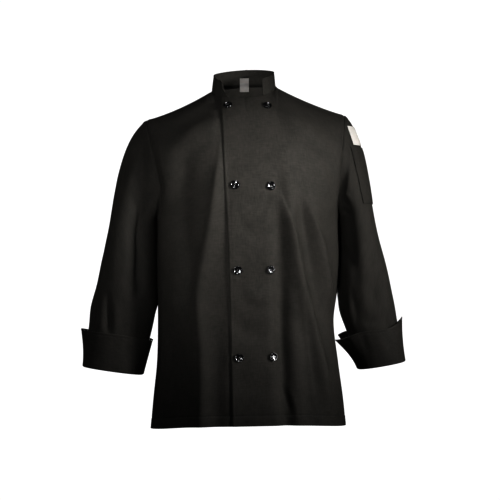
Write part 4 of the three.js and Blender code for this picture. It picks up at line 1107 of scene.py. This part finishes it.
label_out = np.zeros_like(label_points)
label_out[..., 1] = -1
neck_label = cloth("neck_label_cloth", label_points, label_out, neck_satin_painted_shade, thickness=NECK_LABEL["cloth"])
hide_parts("neck_label")

# %% [markdown]
# ## Buttons
#
# The buttons are glossy black moulded plastic, 19 mm across, with a raised round rim and a dished face with
# four holes. A profile spun about its axis gives the turned form, and four faces of the dish are inset and
# pushed down for the holes. The thread crosses from hole to hole.

# %% Button material and form
def moulded_plastic(name, base):
    material, output = new_material(name)
    place = add(material, "ShaderNodeTexCoord")
    flow = add(material, "ShaderNodeTexNoise", {"Vector": place.outputs["Object"], "Scale": 300.0, "Detail": 2.0})
    rough = add(material, "ShaderNodeMapRange", {"Value": flow.outputs["Fac"], "To Min": 0.1, "To Max": 0.22})
    relief = add(material, "ShaderNodeBump", {"Height": flow.outputs["Fac"], "Strength": 0.08, "Distance": 0.1 * MM})
    shader = add(material, "ShaderNodeBsdfPrincipled", {
        "Base Color": colour(base), "Roughness": rough.outputs["Result"], "IOR": 1.53,
        "Normal": relief.outputs["Normal"]})
    return finish_surface(material, output, shader)


glossy_plastic = moulded_plastic("glossy_black_polyester_button", "#0c0c0d")
thread_black, thread_output = new_material("black_polyester_thread")
thread_place = add(thread_black, "ShaderNodeTexCoord")
thread_twist = add(thread_black, "ShaderNodeTexNoise", {"Vector": thread_place.outputs["Object"], "Scale": 1500.0})
thread_tone = add(thread_black, "ShaderNodeMix", {"Factor": thread_twist.outputs["Fac"]}, data_type="RGBA")
thread_tone.inputs["A"].default_value = colour("#1f1e1d")
thread_tone.inputs["B"].default_value = colour("#2c2a28")
finish_surface(thread_black, thread_output, add(thread_black, "ShaderNodeBsdfPrincipled", {
    "Base Color": thread_tone.outputs["Result"], "Roughness": 0.6, "Specular IOR Level": 0.2}))

BUTTON_PROFILE = [(0, 0), (7.6, 0), (8.9, 0.6), (9.45, 1.7), (9.3, 3.0), (8.7, 3.9), (8.0, 4.2), (7.3, 4.0),
                  (6.7, 3.4), (5.6, 3.0), (4.2, 2.85), (3.1, 2.8), (1.7, 2.8), (0, 2.8)]
BUTTON_STEPS = 32
HOLE_RING = (1.7, 3.1)
BUTTON_GAP = 0.3


def button_at(name, centre, normal):
    """A dished button with four holes, turned to lie on the cloth."""
    bm = bmesh.new()
    profile = [bm.verts.new((radius, 0, height)) for radius, height in BUTTON_PROFILE]
    edges = [bm.edges.new(pair) for pair in zip(profile, profile[1:])]
    bmesh.ops.spin(bm, geom=profile + edges, axis=(0, 0, 1), cent=(0, 0, 0), angle=2 * math.pi, steps=BUTTON_STEPS,
                   use_merge=True)
    bmesh.ops.remove_doubles(bm, verts=bm.verts, dist=1e-4)
    bmesh.ops.recalc_face_normals(bm, faces=bm.faces)
    holes = []
    for face in bm.faces:
        middle = face.calc_center_median()
        radius, turn = middle.xy.length, math.degrees(math.atan2(middle.y, middle.x)) % 90
        if middle.z > 2 and HOLE_RING[0] < radius < HOLE_RING[1] and 28 < turn < 62:
            holes.append(face)
    bmesh.ops.inset_region(bm, faces=holes, thickness=0.18, use_even_offset=True)
    sunk = list({vertex for face in holes for vertex in face.verts})
    bmesh.ops.translate(bm, verts=sunk, vec=(0, 0, -1.6))
    turned = Vector(normal).to_track_quat("Z", "Y").to_matrix().to_4x4()
    place = Matrix.Translation(Vector(centre * MM)) @ turned @ Matrix.Scale(MM, 4)
    bmesh.ops.transform(bm, matrix=place, verts=bm.verts)
    mesh = bpy.data.meshes.new(name)
    bm.to_mesh(mesh)
    bm.free()
    mesh.shade_smooth()
    mesh.materials.append(glossy_plastic)
    piece = bpy.data.objects.new(name, mesh)
    scene.collection.objects.link(piece)
    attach(piece, "root")
    return piece, place


# %% [markdown]
# ## Thread
#
# Stitches are short lengths of thread that dip into the cloth at both ends. Each is a small round form, longer
# than wide, laid along the seam every 3.4 mm. The crossed threads of the buttons and the dense edge of the
# buttonholes are made of the same form, turned and packed differently.

# %% Stitches
bm = bmesh.new()
bmesh.ops.create_uvsphere(bm, u_segments=5, v_segments=4, radius=1, matrix=Matrix.Rotation(math.pi / 2, 4, "Y"))
bmesh.ops.recalc_face_normals(bm, faces=bm.faces)
bm.verts.ensure_lookup_table()
STITCH_POINTS = np.array([vertex.co[:] for vertex in bm.verts])
STITCH_FACES = [[vertex.index for vertex in face.verts] for face in bm.faces]
bm.free()


def thread_piece(name, stitches):
    """One mesh of many stitches. Each is its middle, its way, its side way, its length and its width, in mm."""
    points, faces = [], []
    for middle, way, side, length, width in stitches:
        axes = np.array([way * length, side * width, np.cross(way, side) * width]) / 2
        faces += [[corner + len(points) * len(STITCH_POINTS) for corner in face] for face in STITCH_FACES]
        points.append((middle + STITCH_POINTS @ axes) * MM)
    mesh = bpy.data.meshes.new(name)
    mesh.from_pydata(np.concatenate(points).tolist(), [], faces)
    mesh.shade_smooth()
    mesh.materials.append(thread_black)
    piece = bpy.data.objects.new(name, mesh)
    scene.collection.objects.link(piece)
    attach(piece, "root")
    return piece


def stitch_line(points, normals, pitch=3.4, length=2.7, width=0.6, lift=0.05):
    """Stitches every pitch along a line of points on the cloth."""
    run = np.concatenate([[0], np.cumsum(np.linalg.norm(np.diff(points, axis=0), axis=1))])
    marks = np.arange(pitch / 2, run[-1] - pitch / 2, pitch)
    at = np.stack([np.interp(marks, run, points[:, i]) for i in range(3)], axis=-1)
    face = unit(np.stack([np.interp(marks, run, normals[:, i]) for i in range(3)], axis=-1))
    ahead = np.stack([np.interp(marks + 1, run, points[:, i]) for i in range(3)], axis=-1)
    way = unit(ahead - at)
    side = unit(np.cross(face, way))
    return [(m + f * lift, w, s, length, width) for m, f, w, s in zip(at, face, way, side)]


# %% Sew the buttons on
for number, (x, z) in enumerate(BUTTONS, 1):
    reach = 9.5
    xs = np.array([x + reach, x - reach, x, x, x], float)
    zs = np.array([z, z, z + reach, z - reach, z], float)
    around = skin(xs, zs, "front", lap=True)[0]
    normal = unit(np.cross(around[0] - around[1], around[2] - around[3]))
    button, place = button_at(f"button_{number}_plastic", around[4] + normal * BUTTON_GAP, normal)
    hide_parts(f"button_{number}")
    axes = np.array(place.to_3x3().transposed()) / MM
    centre = around[4] + normal * (BUTTON_GAP + 2.75)
    crossing = [(centre, unit(axes[0] + axes[1]), unit(axes[0] - axes[1]), 5.2, 1.0),
                (centre + normal * 0.3, unit(axes[0] - axes[1]), unit(axes[0] + axes[1]), 5.2, 1.0)]
    thread_piece(f"button_{number}_thread", crossing)
print("Buttons:", len(BUTTONS))


# %% Sew the seams
def front_line(x, z, **how):
    return skin(np.asarray(x, float), np.asarray(z, float), "front", **how)


sweep = np.linspace(0, 1, 240)
lap_seam_z = lerp(-734, -34, sweep)
lap_line = stitch_line(*front_line(read(LAP_EDGE, "x", lap_seam_z) + 7, lap_seam_z, lap=True))
thread_piece("lap_stitching", lap_line)

left_hem_x = lerp(float(read(LAP_EDGE, "x", -735)) + 3, 217, sweep)
right_hem_x = lerp(-208, float(read(LAP_EDGE, "x", -735)) - 3, sweep)
back_hem_x = lerp(-205, 214, sweep)
hems = stitch_line(*front_line(left_hem_x, hem_z(left_hem_x, "front") + HEM_DEPTH, lap=True))
right_hem_z = hem_z(right_hem_x, "front") + HEM_DEPTH
hems += stitch_line(*skin(right_hem_x, right_hem_z, "front", under_lap(right_hem_x, right_hem_z)))
hems += stitch_line(*skin(back_hem_x, hem_z(back_hem_x, "back") + HEM_DEPTH, "back"))
thread_piece("hem_stitching", hems)


collar_row = np.argmin(np.abs((1 - collar_ups) * 37 - 6))
collar_line = stitch_line(collar_points[collar_row], (collar_normals * collar_sign)[collar_row])
thread_piece("collar_stitching", collar_line)

cuff_row = np.argmin(np.abs((1 - cuff_ups) * CUFF["height"] - 6))
for side, (points, normals) in cuff_grids.items():
    thread_piece(f"{side}_cuff_stitching", stitch_line(points[cuff_row, 2:-2], normals[cuff_row, 2:-2]))

body_lines = []
for face in ("front", "back"):
    for side in ("right", "left"):
        sign, seam = SIGN[side], SHOULDERS[side]
        shoulder_x = sign * lerp(seam["neck_x"] + 4, seam["tip_x"] - 6, sweep)
        shoulder_z = ridge_z(shoulder_x) - 5
        sunk = under_lap(shoulder_x, shoulder_z) if face == "front" and side == "right" else 0
        body_lines += stitch_line(*skin(shoulder_x, shoulder_z, face, sunk))
        armhole_z = lerp(UNDERARM_Z + 6, seam["tip_z"] - 6, sweep)
        armhole_x = sign * (panel_side(armhole_z, side, face) - 6)
        body_lines += stitch_line(*skin(armhole_x, armhole_z, face))
thread_piece("seam_stitching", body_lines)

# The pocket is sewn down its sides and across its foot, with a second row under its open top.
pocket_lines = []
for across, along in (((0.05, 0.05), (0.03, 0.97)), ((0.95, 0.95), (0.03, 0.97)), ((0.05, 0.95), (0.025, 0.025)),
                      ((0.05, 0.95), (0.89, 0.89))):
    line_z = lerp(POCKET["foot"], POCKET["top"], lerp(*along, sweep[::6]))
    line_angle = np.radians(lerp(POCKET["from"], POCKET["to"], lerp(*across, sweep[::6])))
    on_it, ways = on_left_sleeve(line_z, line_angle, PATCH_CLEARANCE + POCKET["cloth"] + 0.35 + 0 * line_z)
    pocket_lines += stitch_line(on_it, ways, width=0.9, pitch=3.8, length=2.8)
thread_piece("pocket_stitching", pocket_lines)
print("Stitches:", len(lap_line) + len(hems) + len(collar_line) + len(body_lines) + len(pocket_lines))

# %% Buttonholes
# The column beside the lap's edge is buttoned through: a slit with a dense edge of thread, longer than the button.
BUTTONHOLE = {"from": -13.5, "to": 11, "half": 0.9, "bite": 2.2}
hole_stitches = []
for x, z in BUTTONS[::2]:
    marks = np.arange(BUTTONHOLE["from"], BUTTONHOLE["to"], 0.75)
    for edge_side in (-1, 1):
        xs, zs = x + marks, z + 0 * marks + edge_side * (BUTTONHOLE["half"] + BUTTONHOLE["bite"] / 2)
        at, face = front_line(xs, zs, lap=True)
        above = front_line(xs, zs + 1, lap=True)[0]
        ways = unit(above - at)
        sides = unit(np.cross(face, ways))
        hole_stitches += [(p + f * 0.1, w, s, BUTTONHOLE["bite"], 0.8) for p, f, w, s in zip(at, face, ways, sides)]
    for end in ("from", "to"):
        at, face = front_line([x + BUTTONHOLE[end], x + BUTTONHOLE[end]], [z, z + 1], lap=True)
        way = unit(at[1] - at[0])
        hole_stitches.append((at[0] + face[0] * 0.15, way, unit(np.cross(face[0], way)), 6.0, 1.1))
thread_piece("buttonhole_thread", hole_stitches)
print("Buttonholes:", len(BUTTONS[::2]))
